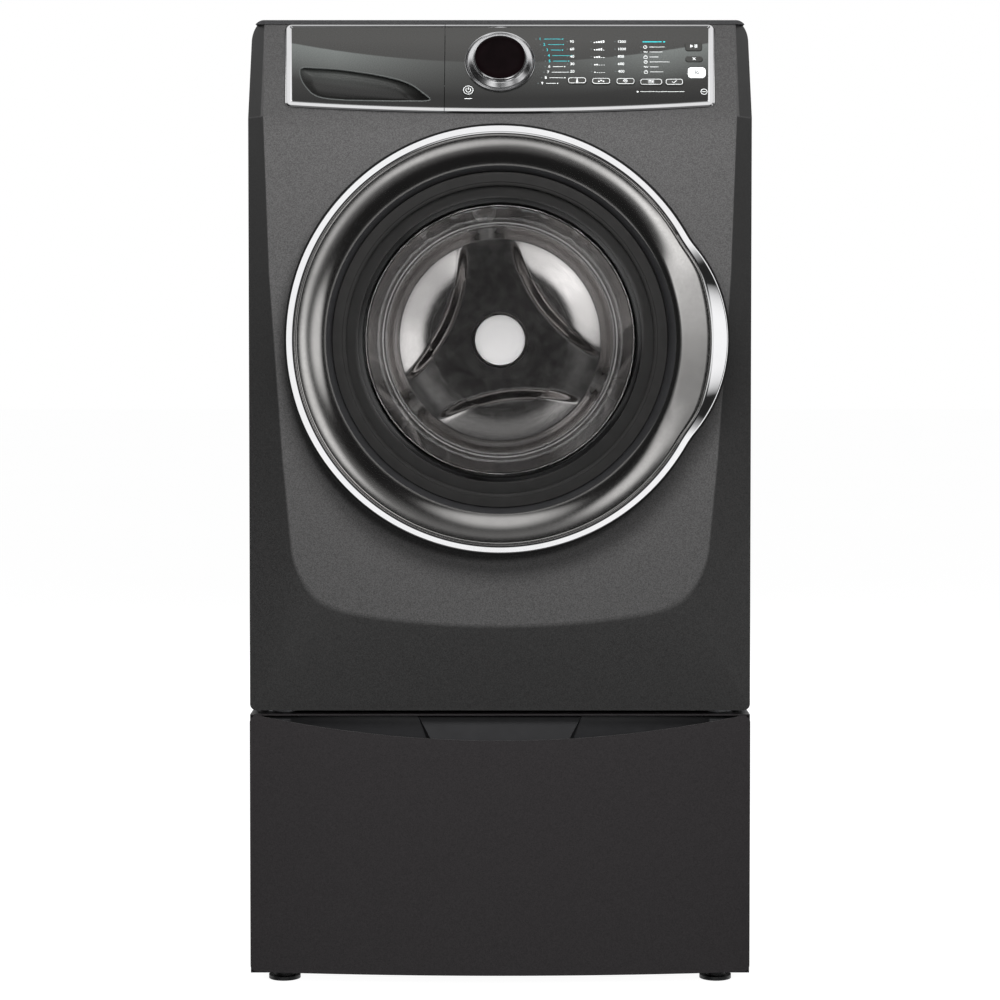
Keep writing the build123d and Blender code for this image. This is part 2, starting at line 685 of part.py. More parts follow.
def make_dispenser_housing():
    """The fixed housing the detergent drawer slides in, open in front."""
    roof = BOX_TOP + 14
    outer = block((HOUSING_LEFT, HOUSING_FRONT, HOUSING_LOW), (HOUSING_RIGHT, HOUSING_BACK, roof + 3))
    outer += block(
        (HOUSING_LEFT + 30, HOUSING_BACK - 50, roof), (HOUSING_RIGHT - 20, HOUSING_BACK, HOUSING_TOP)
    )
    housing = outer - block(
        (HOUSING_LEFT + HOUSING_WALL, HOUSING_FRONT - 1, HOUSING_LOW + HOUSING_WALL),
        (HOUSING_RIGHT - HOUSING_WALL, HOUSING_BACK - HOUSING_WALL, roof),
    )
    left, right = box_side(FIT)
    for x0, x1 in ((HOUSING_LEFT + 1, left), (right, HOUSING_RIGHT - 1)):
        housing += block((x0, HOUSING_FRONT, BOX_LOW + 12), (x1, HOUSING_BACK - 1, BOX_LOW + 26))
    for x in (left + 18, right - 18):
        housing += block((x - 4, HOUSING_FRONT, HOUSING_LOW + 1), (x + 4, HOUSING_BACK - 1, BOX_LOW - FIT))
    for x in (HOUSING_LEFT + 30, HOUSING_RIGHT - 30):
        housing += block(
            (x - 15, HOUSING_FRONT + 40, roof + 1), (x + 15, HOUSING_FRONT + 80, WORKTOP - SHEET - FIT)
        )
    nozzle = HOSE_RADIUS - HOSE_WALL - 0.1
    for x in fill_hose_x():
        housing += disc(nozzle, HOUSING_BACK - 1, HOUSING_BACK + 14, at=(x, hose_height()))
    housing += post(FILL_RADIUS, FILL_X, FILL_Y, HOUSING_LOW - 16, HOUSING_LOW + 1)
    return housing - post(FILL_RADIUS - 3, FILL_X, FILL_Y, HOUSING_LOW - 17, HOUSING_LOW + 3)


# ---- Water and power at the rear ----------------------------------------------------------------
def hose_height():
    """Height of the fill hoses where they enter the detergent housing."""
    return (BOX_TOP + 17 + HOUSING_TOP) / 2


def fill_hose_x():
    """X of the two fill hoses at the detergent housing."""
    middle = (HOUSING_LEFT + HOUSING_RIGHT) / 2
    return middle - 30, middle + 30


def make_water_hoses():
    """Two fill hoses, the drain line and its spigot through the rear panel."""
    hoses = []
    valve_front = REAR - VALVE_DEEP - 0.2
    for x, port, reach in zip(fill_hose_x(), VALVE_X, HOSE_REACH):
        level = hose_height()
        turn = HOUSING_BACK + reach
        points = [(x, HOUSING_BACK + 0.2, level), (x, turn, level), (port, turn, level)]
        points += [(port, valve_front, level)]
        hoses.append(pipe(points, HOSE_BEND, HOSE_RADIUS, HOSE_WALL))
    pump_x, pump_y = pump_centre()
    back = REAR - 46
    points = [(pump_x + PUMP_RADIUS + 0.2, pump_y, PUMP_Z), (SPIGOT_X, pump_y, PUMP_Z)]
    points += [(SPIGOT_X, back, PUMP_Z), (SPIGOT_X, back, SPIGOT_Z), (SPIGOT_X, REAR - 3.2, SPIGOT_Z)]
    hoses.append(pipe(points, DRAIN_BEND, DRAIN_RADIUS, DRAIN_WALL))
    return group(*hoses, make_drain_spigot())


def make_drain_spigot():
    """The drain outlet through the rear panel, for the drain hose."""
    body = disc(SPIGOT_RADIUS + 2.8, REAR - 3, REAR + 2, at=(SPIGOT_X, SPIGOT_Z))
    flange = disc(SPIGOT_RADIUS + 8, REAR + 0.1, REAR + 3, at=(SPIGOT_X, SPIGOT_Z))
    tube = disc(SPIGOT_RADIUS, REAR + 2, REAR_REACH, at=(SPIGOT_X, SPIGOT_Z))
    return body + flange + tube - disc(SPIGOT_RADIUS - 2, REAR - 9, REAR_REACH + 1, at=(SPIGOT_X, SPIGOT_Z))


def make_inlet_valve():
    """The double inlet valve: plate, two solenoids and two male hose threads."""
    wide, tall = VALVE_PLATE
    valve = block((VALVE_X[0] - wide, REAR, VALVE_Z - tall), (VALVE_X[1] + wide, REAR + 2, VALVE_Z + tall))
    for x in VALVE_X:
        valve += disc(16, REAR - 46, REAR + 1, at=(x, VALVE_Z))
        valve += disc(INLET_RADIUS, REAR + 1, REAR_REACH, at=(x, VALVE_Z))
        valve -= disc(INLET_RADIUS - 3.5, REAR + 4, REAR_REACH + 1, at=(x, VALVE_Z))
        valve += block((x - 14, REAR - VALVE_DEEP, VALVE_Z - 15), (x + 14, REAR - 40, hose_height() + 4))
        nozzle = HOSE_RADIUS - HOSE_WALL - 0.1
        valve += disc(nozzle, REAR - VALVE_DEEP - 18, REAR - VALVE_DEEP + 4, at=(x, hose_height()))
    return valve


def make_cord_gland():
    """The round gland in the rear panel that the mains lead comes out of."""
    body = disc(CORD_BORE + 5, REAR - 12, REAR + 1, at=CORD_AT)
    flange = disc(CORD_BORE + 9, REAR, REAR + 4, at=CORD_AT)
    nose = disc(CORD_BORE + 4, REAR + 4, REAR + 16, at=CORD_AT)
    return body + flange + nose - disc(CORD_BORE, REAR - 14, REAR + 20, at=CORD_AT)


# ---- Door -------------------------------------------------------------------------------------
def door_outline(inset):
    """The door seen from the front: a circle that swells to a grip on the right."""
    body = Pos(0, DOOR_Z) * Circle(DOOR_RADIUS - inset)
    grip = Pos(GRIP_AT, DOOR_Z) * Circle(GRIP_RADIUS - inset)
    shape = body + grip
    corners = [v for v in shape.vertices() if v.X > 10]
    return fillet(corners, GRIP_BLEND + inset)


def ring_form(inset, back):
    """The bulk of the door's outer ring, all its surfaces moved in by the inset."""
    front = DOOR_FRONT + inset
    shoulder = DOOR_FRONT + RING_BEVEL_DEEP + inset / 2
    bulk = upright(door_outline(inset), shoulder, back)
    crest = door_outline(inset / 2 + RING_BEVEL_WIDE)
    bulk += loft([facing(door_outline(inset), shoulder), facing(crest, front)], ruled=True)
    bulk -= disc(RING_HOLE + inset, front - 1, back + 1)
    mouth = [e for e in bulk.edges().filter_by(GeomType.CIRCLE) if abs(e.center().Y - front) < 0.01]
    rim = min(mouth, key=lambda e: abs(e.radius - RING_HOLE - inset))
    return fillet(rim, RING_ROLL - inset)


def make_door_outer_ring():
    """The chromed outer ring of the door, shelled from behind."""
    return ring_form(0, DOOR_BACK) - ring_form(RING_WALL, DOOR_BACK + 1) - hinge_slots()


def hinge_slots():
    """Room in the door for the two fixed hinge ears as the door swings."""
    slots = []
    for low, high in ear_levels():
        slots.append(post(KNUCKLE_RADIUS + 1.6, HINGE_X, HINGE_Y, low - 1.2, high + 1.2))
        slots.append(block((HINGE_X - 26, HINGE_Y - 1.2, low - 1.2), (HINGE_X + 40, FRONT, high + 1.2)))
    return slots[0] + slots[1] + slots[2] + slots[3]


def ear_levels():
    """Low and high of the two fixed hinge ears."""
    near = KNUCKLE_HALF + 0.5
    far = near + EAR_HEIGHT
    return (DOOR_Z - far, DOOR_Z - near), (DOOR_Z + near, DOOR_Z + far)


def make_door_frame():
    """The dark ring between the chrome and the glass."""
    seat = GLASS_FLANGE_FRONT - FIT
    return turned(
        (FRAME_INNER, seat),
        (FRAME_INNER, FRAME_FRONT + 3),
        (FRAME_INNER + 3, FRAME_FRONT),
        (RING_HOLE - FIT, FRAME_FRONT),
        (RING_HOLE - FIT, FRAME_BACK),
        (GLASS_FLANGE + FIT, FRAME_BACK),
        (GLASS_FLANGE + FIT, seat),
    )


def make_door_glass():
    """The deep glass bowl with its flat flange."""
    thick = GLASS_WALL
    return turned(
        (BOWL_MOUTH, GLASS_FLANGE_FRONT),
        (GLASS_FLANGE, GLASS_FLANGE_FRONT),
        (GLASS_FLANGE, FRAME_BACK),
        (BOWL_MOUTH + thick, FRAME_BACK),
        (BOWL_MOUTH + thick - 2, FRAME_BACK + 8),
        (BOWL_TIP + thick, BOWL_BOTTOM - 14),
        (BOWL_TIP - 8, BOWL_BOTTOM - 3),
        (BOWL_TIP - 24, BOWL_BOTTOM),
        (0, BOWL_BOTTOM),
        (0, BOWL_BOTTOM - thick),
        (BOWL_TIP - 26, BOWL_BOTTOM - thick),
        (BOWL_TIP - 12, BOWL_BOTTOM - thick - 4),
        (BOWL_TIP - 1, BOWL_BOTTOM - thick - 14),
        (BOWL_MOUTH - 3, FRAME_BACK + 6),
    )


def make_door_back_cover():
    """The plastic cover on the back of the door, with its clamp ring for the glass."""
    plate = upright(door_outline(RING_WALL - 1), DOOR_BACK + 0.05, COVER_BACK)
    plate -= disc(RING_HOLE + 0.05, DOOR_BACK - 1, COVER_BACK + 1)
    clamp = ring(CLAMP_INNER, RING_HOLE + 6, FRAME_BACK + 0.1, CLAMP_BACK)
    return plate + clamp - hinge_slots()


def make_door_strike():
    """The latch hook on the back of the door."""
    plate = block((STRIKE_X - 12, COVER_BACK, DOOR_Z - 20), (STRIKE_X + 12, COVER_BACK + 3, DOOR_Z + 20))
    arm = block((STRIKE_X - 4, COVER_BACK + 2, DOOR_Z - 8), (STRIKE_X + 4, STRIKE_TIP, DOOR_Z + 8))
    arm -= block((STRIKE_X - 5, STRIKE_TIP - 14, DOOR_Z - 4), (STRIKE_X + 5, STRIKE_TIP - 5, DOOR_Z + 4))
    return plate + arm


def make_hinge_bracket():
    """The fixed hinge leaf on the front panel, with two ears and the pin."""
    bracket = post(PIN_RADIUS, HINGE_X, HINGE_Y, ear_levels()[0][0], ear_levels()[1][1])
    elbow = (HINGE_X + 31, HINGE_Y + 3)
    foot = (HINGE_X + 35, FRONT - 2)
    for low, high in ear_levels():
        bracket += post(KNUCKLE_RADIUS, HINGE_X, HINGE_Y, low, high)
        bracket += post(4, *elbow, low, high)
        bracket += link((HINGE_X, HINGE_Y), elbow, low, high)
        bracket += link(elbow, foot, low, high)
    leaf = block(
        (HINGE_X + 26, FRONT - 3, ear_levels()[0][0] - 14),
        (HINGE_X + 53, FRONT - 0.1, ear_levels()[1][1] + 14),
    )
    return bracket + leaf


def link(start, end, low, high):
    """A straight upright bar, 8 mm wide, between two points seen from above."""
    run = Vector(end[0] - start[0], end[1] - start[1], 0)
    middle = Pos((start[0] + end[0]) / 2, (start[1] + end[1]) / 2, (low + high) / 2)
    turn = degrees(atan2(run.Y, run.X))
    return middle * Rot(0, 0, turn) * Box(run.length, 8, high - low)


def make_door_hinge_arm():
    """The moving hinge leaf: a knuckle on the pin and a plate screwed inside the door."""
    low, high = DOOR_Z - KNUCKLE_HALF, DOOR_Z + KNUCKLE_HALF
    plate_back = DOOR_BACK - FIT
    arm = post(KNUCKLE_RADIUS, HINGE_X, HINGE_Y, low, high)
    arm += block((HINGE_X, plate_back - 5, low), (-RING_HOLE - RING_WALL - 6, plate_back, high))
    return arm - post(PIN_RADIUS + RUNNING_FIT, HINGE_X, HINGE_Y, low - 1, high + 1)


def make_door_lock():
    """The lock behind the front panel, with the slot the strike enters."""
    low, high = DOOR_Z - LOCK_HALF, DOOR_Z + LOCK_HALF
    left, right = STRIKE_X - 14, STRIKE_X + 36
    body = block((left, FRONT + 2, low), (right, FRONT + 36, high))
    mouth = block((STRIKE_X - 7, FRONT, DOOR_Z - 11), (STRIKE_X + 13, FRONT + 30, DOOR_Z + 11))
    return body - mouth


def make_door_boot():
    """The rubber bellows between the front panel and the tub."""
    seat = PANEL_HOLE - BOOT_WALL / 2 - 0.1
    fold = PANEL_HOLE - 15
    clamp = TUB_NECK + NECK_WALL + BOOT_WALL / 2 + 0.1
    line = [(PANEL_HOLE - 14, FRONT - 5), (seat, FRONT - 5), (seat, FRONT + 22), (fold, FRONT + 29)]
    line += [(fold, FRONT + 47), (clamp, NECK_FRONT - 4), (clamp, TUB_FRONT - 3)]
    section = trace(Polyline(*line), line_width=BOOT_WALL)
    return Pos(0, 0, DOOR_Z) * revolve(section, Axis.Y)


# ---- Tub --------------------------------------------------------------------------------------
def make_tub_front():
    """The front half of the tub, with its neck, joint flange and two water spigots."""
    joint = TUB_SPLIT - FIT / 2
    outer = TUB_OUTER
    shell = turned(
        (TUB_NECK, NECK_FRONT),
        (TUB_NECK + NECK_WALL, NECK_FRONT),
        (TUB_NECK + NECK_WALL, TUB_FRONT),
        (outer - 12, TUB_FRONT),
        (outer, TUB_FRONT + 12),
        (outer, joint - FLANGE_THICK),
        (FLANGE_RADIUS, joint - FLANGE_THICK),
        (FLANGE_RADIUS, joint),
        (TUB_INNER, joint),
        (TUB_INNER, TUB_FRONT + 14),
        (TUB_INNER - 9, TUB_FRONT + TUB_WALL),
        (TUB_NECK, TUB_FRONT + TUB_WALL),
    )
    room = disc(TUB_INNER, TUB_FRONT + 14, joint)
    sump = DOOR_Z - sqrt(outer**2 - SUMP_X**2)
    fill = DOOR_Z + sqrt(outer**2 - FILL_X**2)
    shell += post(SUMP_RADIUS, SUMP_X, SUMP_Y, sump - 35, sump + 25) - room
    shell += post(FILL_RADIUS, FILL_X, FILL_Y, fill - 25, fill + 26) - room
    shell -= post(SUMP_RADIUS - 3, SUMP_X, SUMP_Y, sump - 36, sump + 60)
    return shell - post(FILL_RADIUS - 3, FILL_X, FILL_Y, fill - 60, fill + 27)


def heater_height():
    """Height of the heater, midway between the drum and the tub."""
    return DOOR_Z - (TUB_INNER + DRUM_RADIUS) / 2 + 1


def make_tub_rear():
    """The rear half of the tub: wall, ribs, bearing hub, motor saddle and lugs."""
    joint = TUB_SPLIT + FIT / 2
    outer = TUB_OUTER
    wall = TUB_REAR - 6
    shell = turned(
        (SHAFT_SHOULDER + 6, wall),
        (TUB_INNER - 6, wall),
        (TUB_INNER, wall - 8),
        (TUB_INNER, joint),
        (FLANGE_RADIUS, joint),
        (FLANGE_RADIUS, joint + FLANGE_THICK),
        (outer, joint + FLANGE_THICK),
        (outer, wall - 6),
        (outer - 10, TUB_REAR),
        (HUB_RADIUS, TUB_REAR),
        (HUB_RADIUS, HUB_BACK),
        (BEARING_RADIUS, HUB_BACK),
        (BEARING_RADIUS, wall + 4),
        (SHAFT_SHOULDER + 6, wall + 4),
    )
    spoke = block((HUB_RADIUS - 2, -2, 0), (outer - 12, 2, RIB_TALL))
    for index in range(12):
        shell += Pos(0, TUB_REAR - 1, DOOR_Z) * Rot(0, index * 30 + 15, 0) * Rot(-90, 0, 0) * spoke
    room = disc(outer - 1, joint + FLANGE_THICK, wall)
    middle = SUSPENSION_Y
    lug = block((outer * 0.66, middle - 8, SPRING_LUG - 8), (SPRING_X + 14, middle + 8, SPRING_LUG))
    foot = Pos(DAMPER_X, middle, DAMPER_HEAD + 16) * Box(30, 24, 62)
    foot -= Pos(DAMPER_X, middle, DAMPER_HEAD - 10) * Box(EYE_WIDE + 2 * FIT, 30, 30)
    for piece in (lug - room, foot - room):
        shell += piece
        shell += mirror(piece, Plane.YZ)
    x, z = MOTOR_AT
    low, high = z + MOTOR_RADIUS + SADDLE_GAP, z + MOTOR_RADIUS + SADDLE_TALL
    saddle = block((x - SADDLE_HALF, SADDLE_FRONT, low), (x + SADDLE_HALF, SADDLE_BACK, high))
    shell += saddle - disc(outer - 1, SADDLE_FRONT - 10, SADDLE_BACK + 10)
    level = heater_height()
    return shell - block((-22.1, wall - 6, level - 5.1), (22.1, TUB_REAR + 1, level + 5.1))


def make_counterweights():
    """Two cast weights on the front of the tub: one above the door, one below."""
    band = ring(WEIGHT_INNER, WEIGHT_OUTER, WEIGHT_FRONT, TUB_FRONT - FIT)
    upper = block((-WIDTH, WEIGHT_FRONT - 1, DOOR_Z + 70), (WIDTH, TUB_FRONT + 1, DOOR_Z + WIDTH))
    lower = block((-WIDTH, WEIGHT_FRONT - 1, DOOR_Z - WIDTH), (WIDTH, TUB_FRONT + 1, DOOR_Z - 110))
    return group(band & upper, band & lower)


def make_drum_bearings():
    """The two ball bearings in the tub's hub, each as one closed ring."""
    seat = BEARING_RADIUS - 0.05
    front = ring(SHAFT_SHOULDER + RUNNING_FIT, seat, TUB_REAR - 1.9, TUB_REAR + 16)
    rear = ring(SHAFT_RADIUS + RUNNING_FIT, seat, HUB_BACK - 18, HUB_BACK - 1)
    return group(front, rear)


def make_heater():
    """The water heater in the bottom of the tub, held in the rear wall by its plug."""
    level = heater_height()
    heater = block((-22, TUB_REAR - 10, level - 5), (22, TUB_REAR + 9, level + 5))
    for x in (-14, 14):
        heater += block((x - 3, TUB_REAR - 160, level - 3), (x + 3, TUB_REAR - 9, level + 3))
    return heater + block((-17, TUB_REAR - 163, level - 3), (17, TUB_REAR - 157, level + 3))


# ---- Drive ------------------------------------------------------------------------------------
def make_motor():
    """The drive motor below the tub."""
    x, z = MOTOR_AT
    end = MOTOR_BACK - 8
    body = disc(MOTOR_RADIUS, MOTOR_FRONT, end, at=MOTOR_AT)
    body += ring(20, MOTOR_RADIUS - 8, end, MOTOR_BACK, at=MOTOR_AT)
    body -= disc(MOTOR_SHAFT + 0.1, end - 7, MOTOR_BACK + 1, at=MOTOR_AT)
    high = z + MOTOR_RADIUS + SADDLE_GAP - FIT
    for side in (-1, 1):
        foot = x + side * (SADDLE_HALF - 15)
        body += block((foot - 12, SADDLE_FRONT + 10, z + 20), (foot + 12, SADDLE_BACK - 10, high))
    return body


def make_motor_pulley():
    """The motor's shaft end and small grooved pulley."""
    front = PULLEY_FRONT - 1
    shaft = disc(MOTOR_SHAFT, MOTOR_BACK - 14, front, at=MOTOR_AT)
    wheel = disc(MOTOR_PULLEY, front, PULLEY_BACK + 1, at=MOTOR_AT)
    return shaft + wheel


def make_drum_pulley():
    """The large spoked pulley on the drum shaft."""
    wheel = ring(PULLEY_RADIUS - PULLEY_RIM, PULLEY_RADIUS, PULLEY_FRONT, PULLEY_BACK)
    wheel += disc(26, PULLEY_FRONT - 6, PULLEY_BACK)
    spoke = block((20, PULLEY_FRONT + 4, -9), (PULLEY_RADIUS - 5, PULLEY_BACK - 4, 9))
    for index in range(5):
        wheel += Pos(0, 0, DOOR_Z) * Rot(0, index * 72 + 90, 0) * spoke
    return wheel - disc(SHAFT_RADIUS + 0.05, PULLEY_FRONT - 20, PULLEY_BACK + 1)


def belt_outline(grow):
    """The belt's loop over both pulleys, drawn in X and Z."""
    big = Pos(0, DOOR_Z) * Circle(PULLEY_RADIUS + grow)
    small = Pos(*MOTOR_AT) * Circle(MOTOR_PULLEY + grow)
    return make_hull((big + small).edges())


def make_drive_belt():
    """The flat ribbed belt."""
    middle = (PULLEY_FRONT + PULLEY_BACK) / 2
    loop = belt_outline(FIT + BELT_THICK) - belt_outline(FIT)
    return upright(loop, middle - BELT_WIDE / 2, middle + BELT_WIDE / 2)


# ---- Drum -------------------------------------------------------------------------------------
def make_drum_shell():
    """The steel drum: rolled mouth, side wall and rear wall with three pressed dishes."""
    inner = DRUM_RADIUS - DRUM_SHEET
    well = HUB_CAP_RADIUS + 4
    floor = DRUM_BACK - DRUM_SHEET
    shell = turned(
        (DRUM_MOUTH, DRUM_FRONT),
        (DRUM_RADIUS - 10, DRUM_FRONT),
        (DRUM_RADIUS, DRUM_FRONT + 10),
        (DRUM_RADIUS, DRUM_BACK),
        (well, DRUM_BACK),
        (well, DRUM_BACK + 4),
        (SHAFT_SHOULDER + FIT, DRUM_BACK + 4),
        (SHAFT_SHOULDER + FIT, floor + 4),
        (well - DRUM_SHEET, floor + 4),
        (well - DRUM_SHEET, floor),
        (inner, floor),
        (inner, DRUM_FRONT + 10.5),
        (DRUM_RADIUS - 10.5, DRUM_FRONT + DRUM_SHEET),
        (DRUM_MOUTH, DRUM_FRONT + DRUM_SHEET),
    )
    for angle in DISH_ANGLES:
        x, z = polar(DISH_AT, angle)
        place = Pos(x, DRUM_BACK, z) * Rot(0, -angle, 0) * Rot(90, 0, 0)
        shell += place * dish_form(DRUM_SHEET, 0)
        shell -= place * dish_form(0, DRUM_SHEET + 0.5)
    return shell


def dish_form(grow, rise):
    """A shallow oval pressing; its mouth faces the door."""
    deep = Pos(0, 0, -DISH_DEEP - grow) * Ellipse(DISH_LONG - 10 + grow, DISH_WIDE - 10 + grow)
    mouth = Pos(0, 0, rise) * Ellipse(DISH_LONG + grow, DISH_WIDE + grow)
    return loft([deep, mouth], ruled=True)


def make_drum_lifters():
    """The three lifters inside the drum."""
    seat = DRUM_RADIUS - DRUM_SHEET - FIT
    shell = lifter_form(seat, 0) - lifter_form(seat, LIFTER_SHEET)
    room = disc(seat, DRUM_FRONT, DRUM_BACK)
    places = [Pos(0, LIFTER_MID, DOOR_Z) * Rot(0, -angle, 0) for angle in LIFTER_ANGLES]
    return group(*[place * shell & room for place in places])


def lifter_form(seat, inset):
    """One lifter lying along Y, all its surfaces moved in by the inset."""
    long, wide = LIFTER_LONG - 2 * inset, LIFTER_WIDE - 2 * inset
    base = across(RectangleRounded(long, wide, 20 - inset), seat)
    crest = across(RectangleRounded(long - 42, wide * 0.4, 13 - inset), seat - LIFTER_TALL + inset)
    return loft([crest, base], ruled=True)


def make_drum_spider():
    """The cast three-armed spider behind the drum, with its stepped shaft."""
    spider = disc(40, DRUM_BACK + 11, DRUM_BACK + 39)
    reach = DRUM_RADIUS - 16
    arm = loft([across(Rectangle(26, 40), 20), across(Rectangle(16, 22), reach)], ruled=True)
    arm += block((reach - 10, -25, -11), (reach + 6, 4, 11))
    for angle in LIFTER_ANGLES:
        spider += Pos(0, DRUM_BACK + 25, DOOR_Z) * Rot(0, -angle, 0) * arm
    step = HUB_BACK - 25
    spider += disc(SHAFT_SHOULDER, DRUM_BACK + 2.8, step)
    return spider + disc(SHAFT_RADIUS, step, PULLEY_BACK + 6)


def make_hub_cap():
    """The white cap in the middle of the drum's rear wall."""
    return turned(
        (0, HUB_CAP_FRONT),
        (HUB_CAP_RADIUS - 14, HUB_CAP_FRONT + 1.5),
        (HUB_CAP_RADIUS - 3, HUB_CAP_FRONT + 6),
        (HUB_CAP_RADIUS, DRUM_BACK - 2),
        (HUB_CAP_RADIUS, DRUM_BACK + 2.6),
        (0, DRUM_BACK + 2.6),
    )


# ---- Suspension and pump ----------------------------------------------------------------------
def make_suspension_springs():
    """The two coil springs that carry the tub, each as its closed outer shape."""
    coil = post(SPRING_RADIUS, SPRING_X, SUSPENSION_Y, SPRING_LUG + 0.1, SPRING_HANG - 0.1)
    return pair(coil)


def pair(part):
    """The part and its mirror image as two solids of one node."""
    return group(part, mirror(part, Plane.YZ))


def make_damper_cylinders():
    """The lower halves of the two friction dampers, pinned to the base pan."""
    top = DAMPER_FOOT + DAMPER_TUBE
    tube = post(DAMPER_RADIUS, DAMPER_X, SUSPENSION_Y, DAMPER_FOOT, top)
    tube -= post(ROD_RADIUS + 0.5, DAMPER_X, SUSPENSION_Y, DAMPER_FOOT + 30, top + 1)
    foot = block(
        (DAMPER_X - 13, SUSPENSION_Y - 13, pan_floor()),
        (DAMPER_X + 13, SUSPENSION_Y + 13, DAMPER_FOOT + 8),
    )
    return pair(tube + foot)


def make_damper_rods():
    """The damper rods, pinned in the tub's lugs."""
    rod = post(ROD_RADIUS, DAMPER_X, SUSPENSION_Y, DAMPER_FOOT + 60, DAMPER_HEAD)
    eye = Pos(DAMPER_X, SUSPENSION_Y, DAMPER_HEAD - 6) * Box(EYE_WIDE, 18, 20)
    return pair(rod + eye)


def pump_centre():
    """X and Y of the drain pump's body."""
    return SUMP_X, SUMP_Y - 40


def make_drain_pump():
    """The drain pump on the base pan, with its inlet pipe and outlet."""
    x, y = pump_centre()
    body = post(PUMP_RADIUS, x, y, pan_floor(), PUMP_Z + 26)
    body += Pos(x, y - 50, PUMP_Z) * Rot(90, 0, 0) * Cylinder(24, 60)
    body += post(SUMP_RADIUS, x, SUMP_Y, PUMP_Z, PUMP_Z + 42)
    body -= post(SUMP_RADIUS - 3, x, SUMP_Y, PUMP_Z + 30, PUMP_Z + 43)
    nozzle = Pos(x + PUMP_RADIUS + 8, y, PUMP_Z) * Rot(0, 90, 0) * Cylinder(DRAIN_RADIUS - 2.1, 24)
    return body + nozzle


def sleeve(radius, x, y, low, high):
    """A soft upright hose end pushed over a spigot of the given radius."""
    return post(radius + 3.3, x, y, low, high) - post(radius + FIT, x, y, low - 1, high + 1)


def make_tub_hoses():
    """The soft hoses of the moving tub: sump to pump, and detergent housing to tub."""
    outer = TUB_OUTER
    sump = DOOR_Z - sqrt(outer**2 - SUMP_X**2)
    fill = DOOR_Z + sqrt(outer**2 - FILL_X**2)
    drain = sleeve(SUMP_RADIUS, SUMP_X, SUMP_Y, PUMP_Z + 34, sump - 23)
    return group(drain, sleeve(FILL_RADIUS, FILL_X, FILL_Y, fill + 14, HOUSING_LOW - 4))


# ---- Pedestal ---------------------------------------------------------------------------------
def make_pedestal_cabinet():
    """The pedestal's steel box, open in front, with its drawer rails' walls."""
    outer = block((-HALF, PEDESTAL_FRONT, PEDESTAL_LOW), (HALF, REAR, PEDESTAL_TOP))
    t = PEDESTAL_SHEET
    inner = block(
        (-HALF + t, PEDESTAL_FRONT - 1, PEDESTAL_LOW + t), (HALF - t, REAR - t, PEDESTAL_TOP - t)
    )
    box = outer - inner
    for x in (-FOOT_X, FOOT_X):
        for y in (FOOT_FRONT, FOOT_REAR):
            box += post(12, x, y, PEDESTAL_LOW, DRAWER_LOW - 2.5)
            box -= post(STUD_HOLE, x, y, PEDESTAL_LOW - 5, DRAWER_LOW)
    return box


def face_bow():
    """Radius of the bowed drawer front, seen from above."""
    rise = DRAWER_EDGE - DRAWER_CROWN
    return (HALF**2 + rise**2) / (2 * rise)


def bowed(inset, low, high, back):
    """The bulk behind the bowed drawer front."""
    radius = face_bow() - inset
    drum = Pos(0, DRAWER_CROWN + face_bow(), (low + high) / 2) * Cylinder(radius, high - low)
    middle = Pos(0, (low + high) / 2) * RectangleRounded(WIDTH - 2 * inset, high - low, LOW_ROUND - inset)
    return drum & upright(middle, DRAWER_CROWN - 5, back)


def scoop(front, back, drop):
    """The long shallow scoop in the drawer front's top edge."""
    top = DRAWER_FACE_TOP
    line = [
        ThreePointArc((-SCOOP_HALF, top), (0, top - drop), (SCOOP_HALF, top)),
        Line((SCOOP_HALF, top), (SCOOP_HALF, top + 10)),
        Line((SCOOP_HALF, top + 10), (-SCOOP_HALF, top + 10)),
        Line((-SCOOP_HALF, top + 10), (-SCOOP_HALF, top)),
    ]
    return upright(make_face(line), front, back)


def make_pedestal_drawer_front():
    """The bowed drawer front: a steel pan with a scooped top edge and a black pull insert."""
    t = PEDESTAL_SHEET
    pan = bowed(0, DRAWER_FACE_LOW, DRAWER_FACE_TOP, DRAWER_FACE_BACK)
    pan -= bowed(t, DRAWER_FACE_LOW + t, DRAWER_FACE_TOP + 5, DRAWER_FACE_BACK - t)
    pan -= scoop(DRAWER_CROWN - 5, DRAWER_FACE_BACK + 5, SCOOP_DROP)
    low = DRAWER_FACE_TOP - SCOOP_DROP - PULL_FLOOR
    top = DRAWER_FACE_TOP - 4
    side = SCOOP_HALF - 4
    pan -= block(
        (-side - FIT, DRAWER_FACE_BACK - t - 1, low - FIT),
        (side + FIT, DRAWER_FACE_BACK + 1, DRAWER_FACE_TOP + 1),
    )
    wall = PULL_WALL
    pull = bowed(t + 0.2, low, top, PULL_BACK) & block((-side, DRAWER_CROWN, low), (side, PULL_BACK, top))
    room = bowed(t + 0.2 + wall, low + wall, top + 1, PULL_BACK - wall)
    pull -= room & block((-side + wall, DRAWER_CROWN, low), (side - wall, PULL_BACK, top + 1))
    pull -= scoop(DRAWER_CROWN - 5, DRAWER_FACE_BACK - 6, SCOOP_DROP + 1)
    ramp = loft(
        [
            Pos(0, 0, low + 1) * ramp_outline(PULL_RAMP - 24, 20),
            Pos(0, 0, top) * ramp_outline(PULL_RAMP, 4),
        ],
        ruled=True,
    )
    return group(pan, pull + ramp)


def ramp_outline(half, deep):
    """One level of the sloping middle of the pull, seen from above."""
    back = PULL_BACK - 1
    corners = [(-half - deep / 2, back), (-half, back - deep), (half, back - deep), (half + deep / 2, back)]
    return Polygon(*corners, align=None)


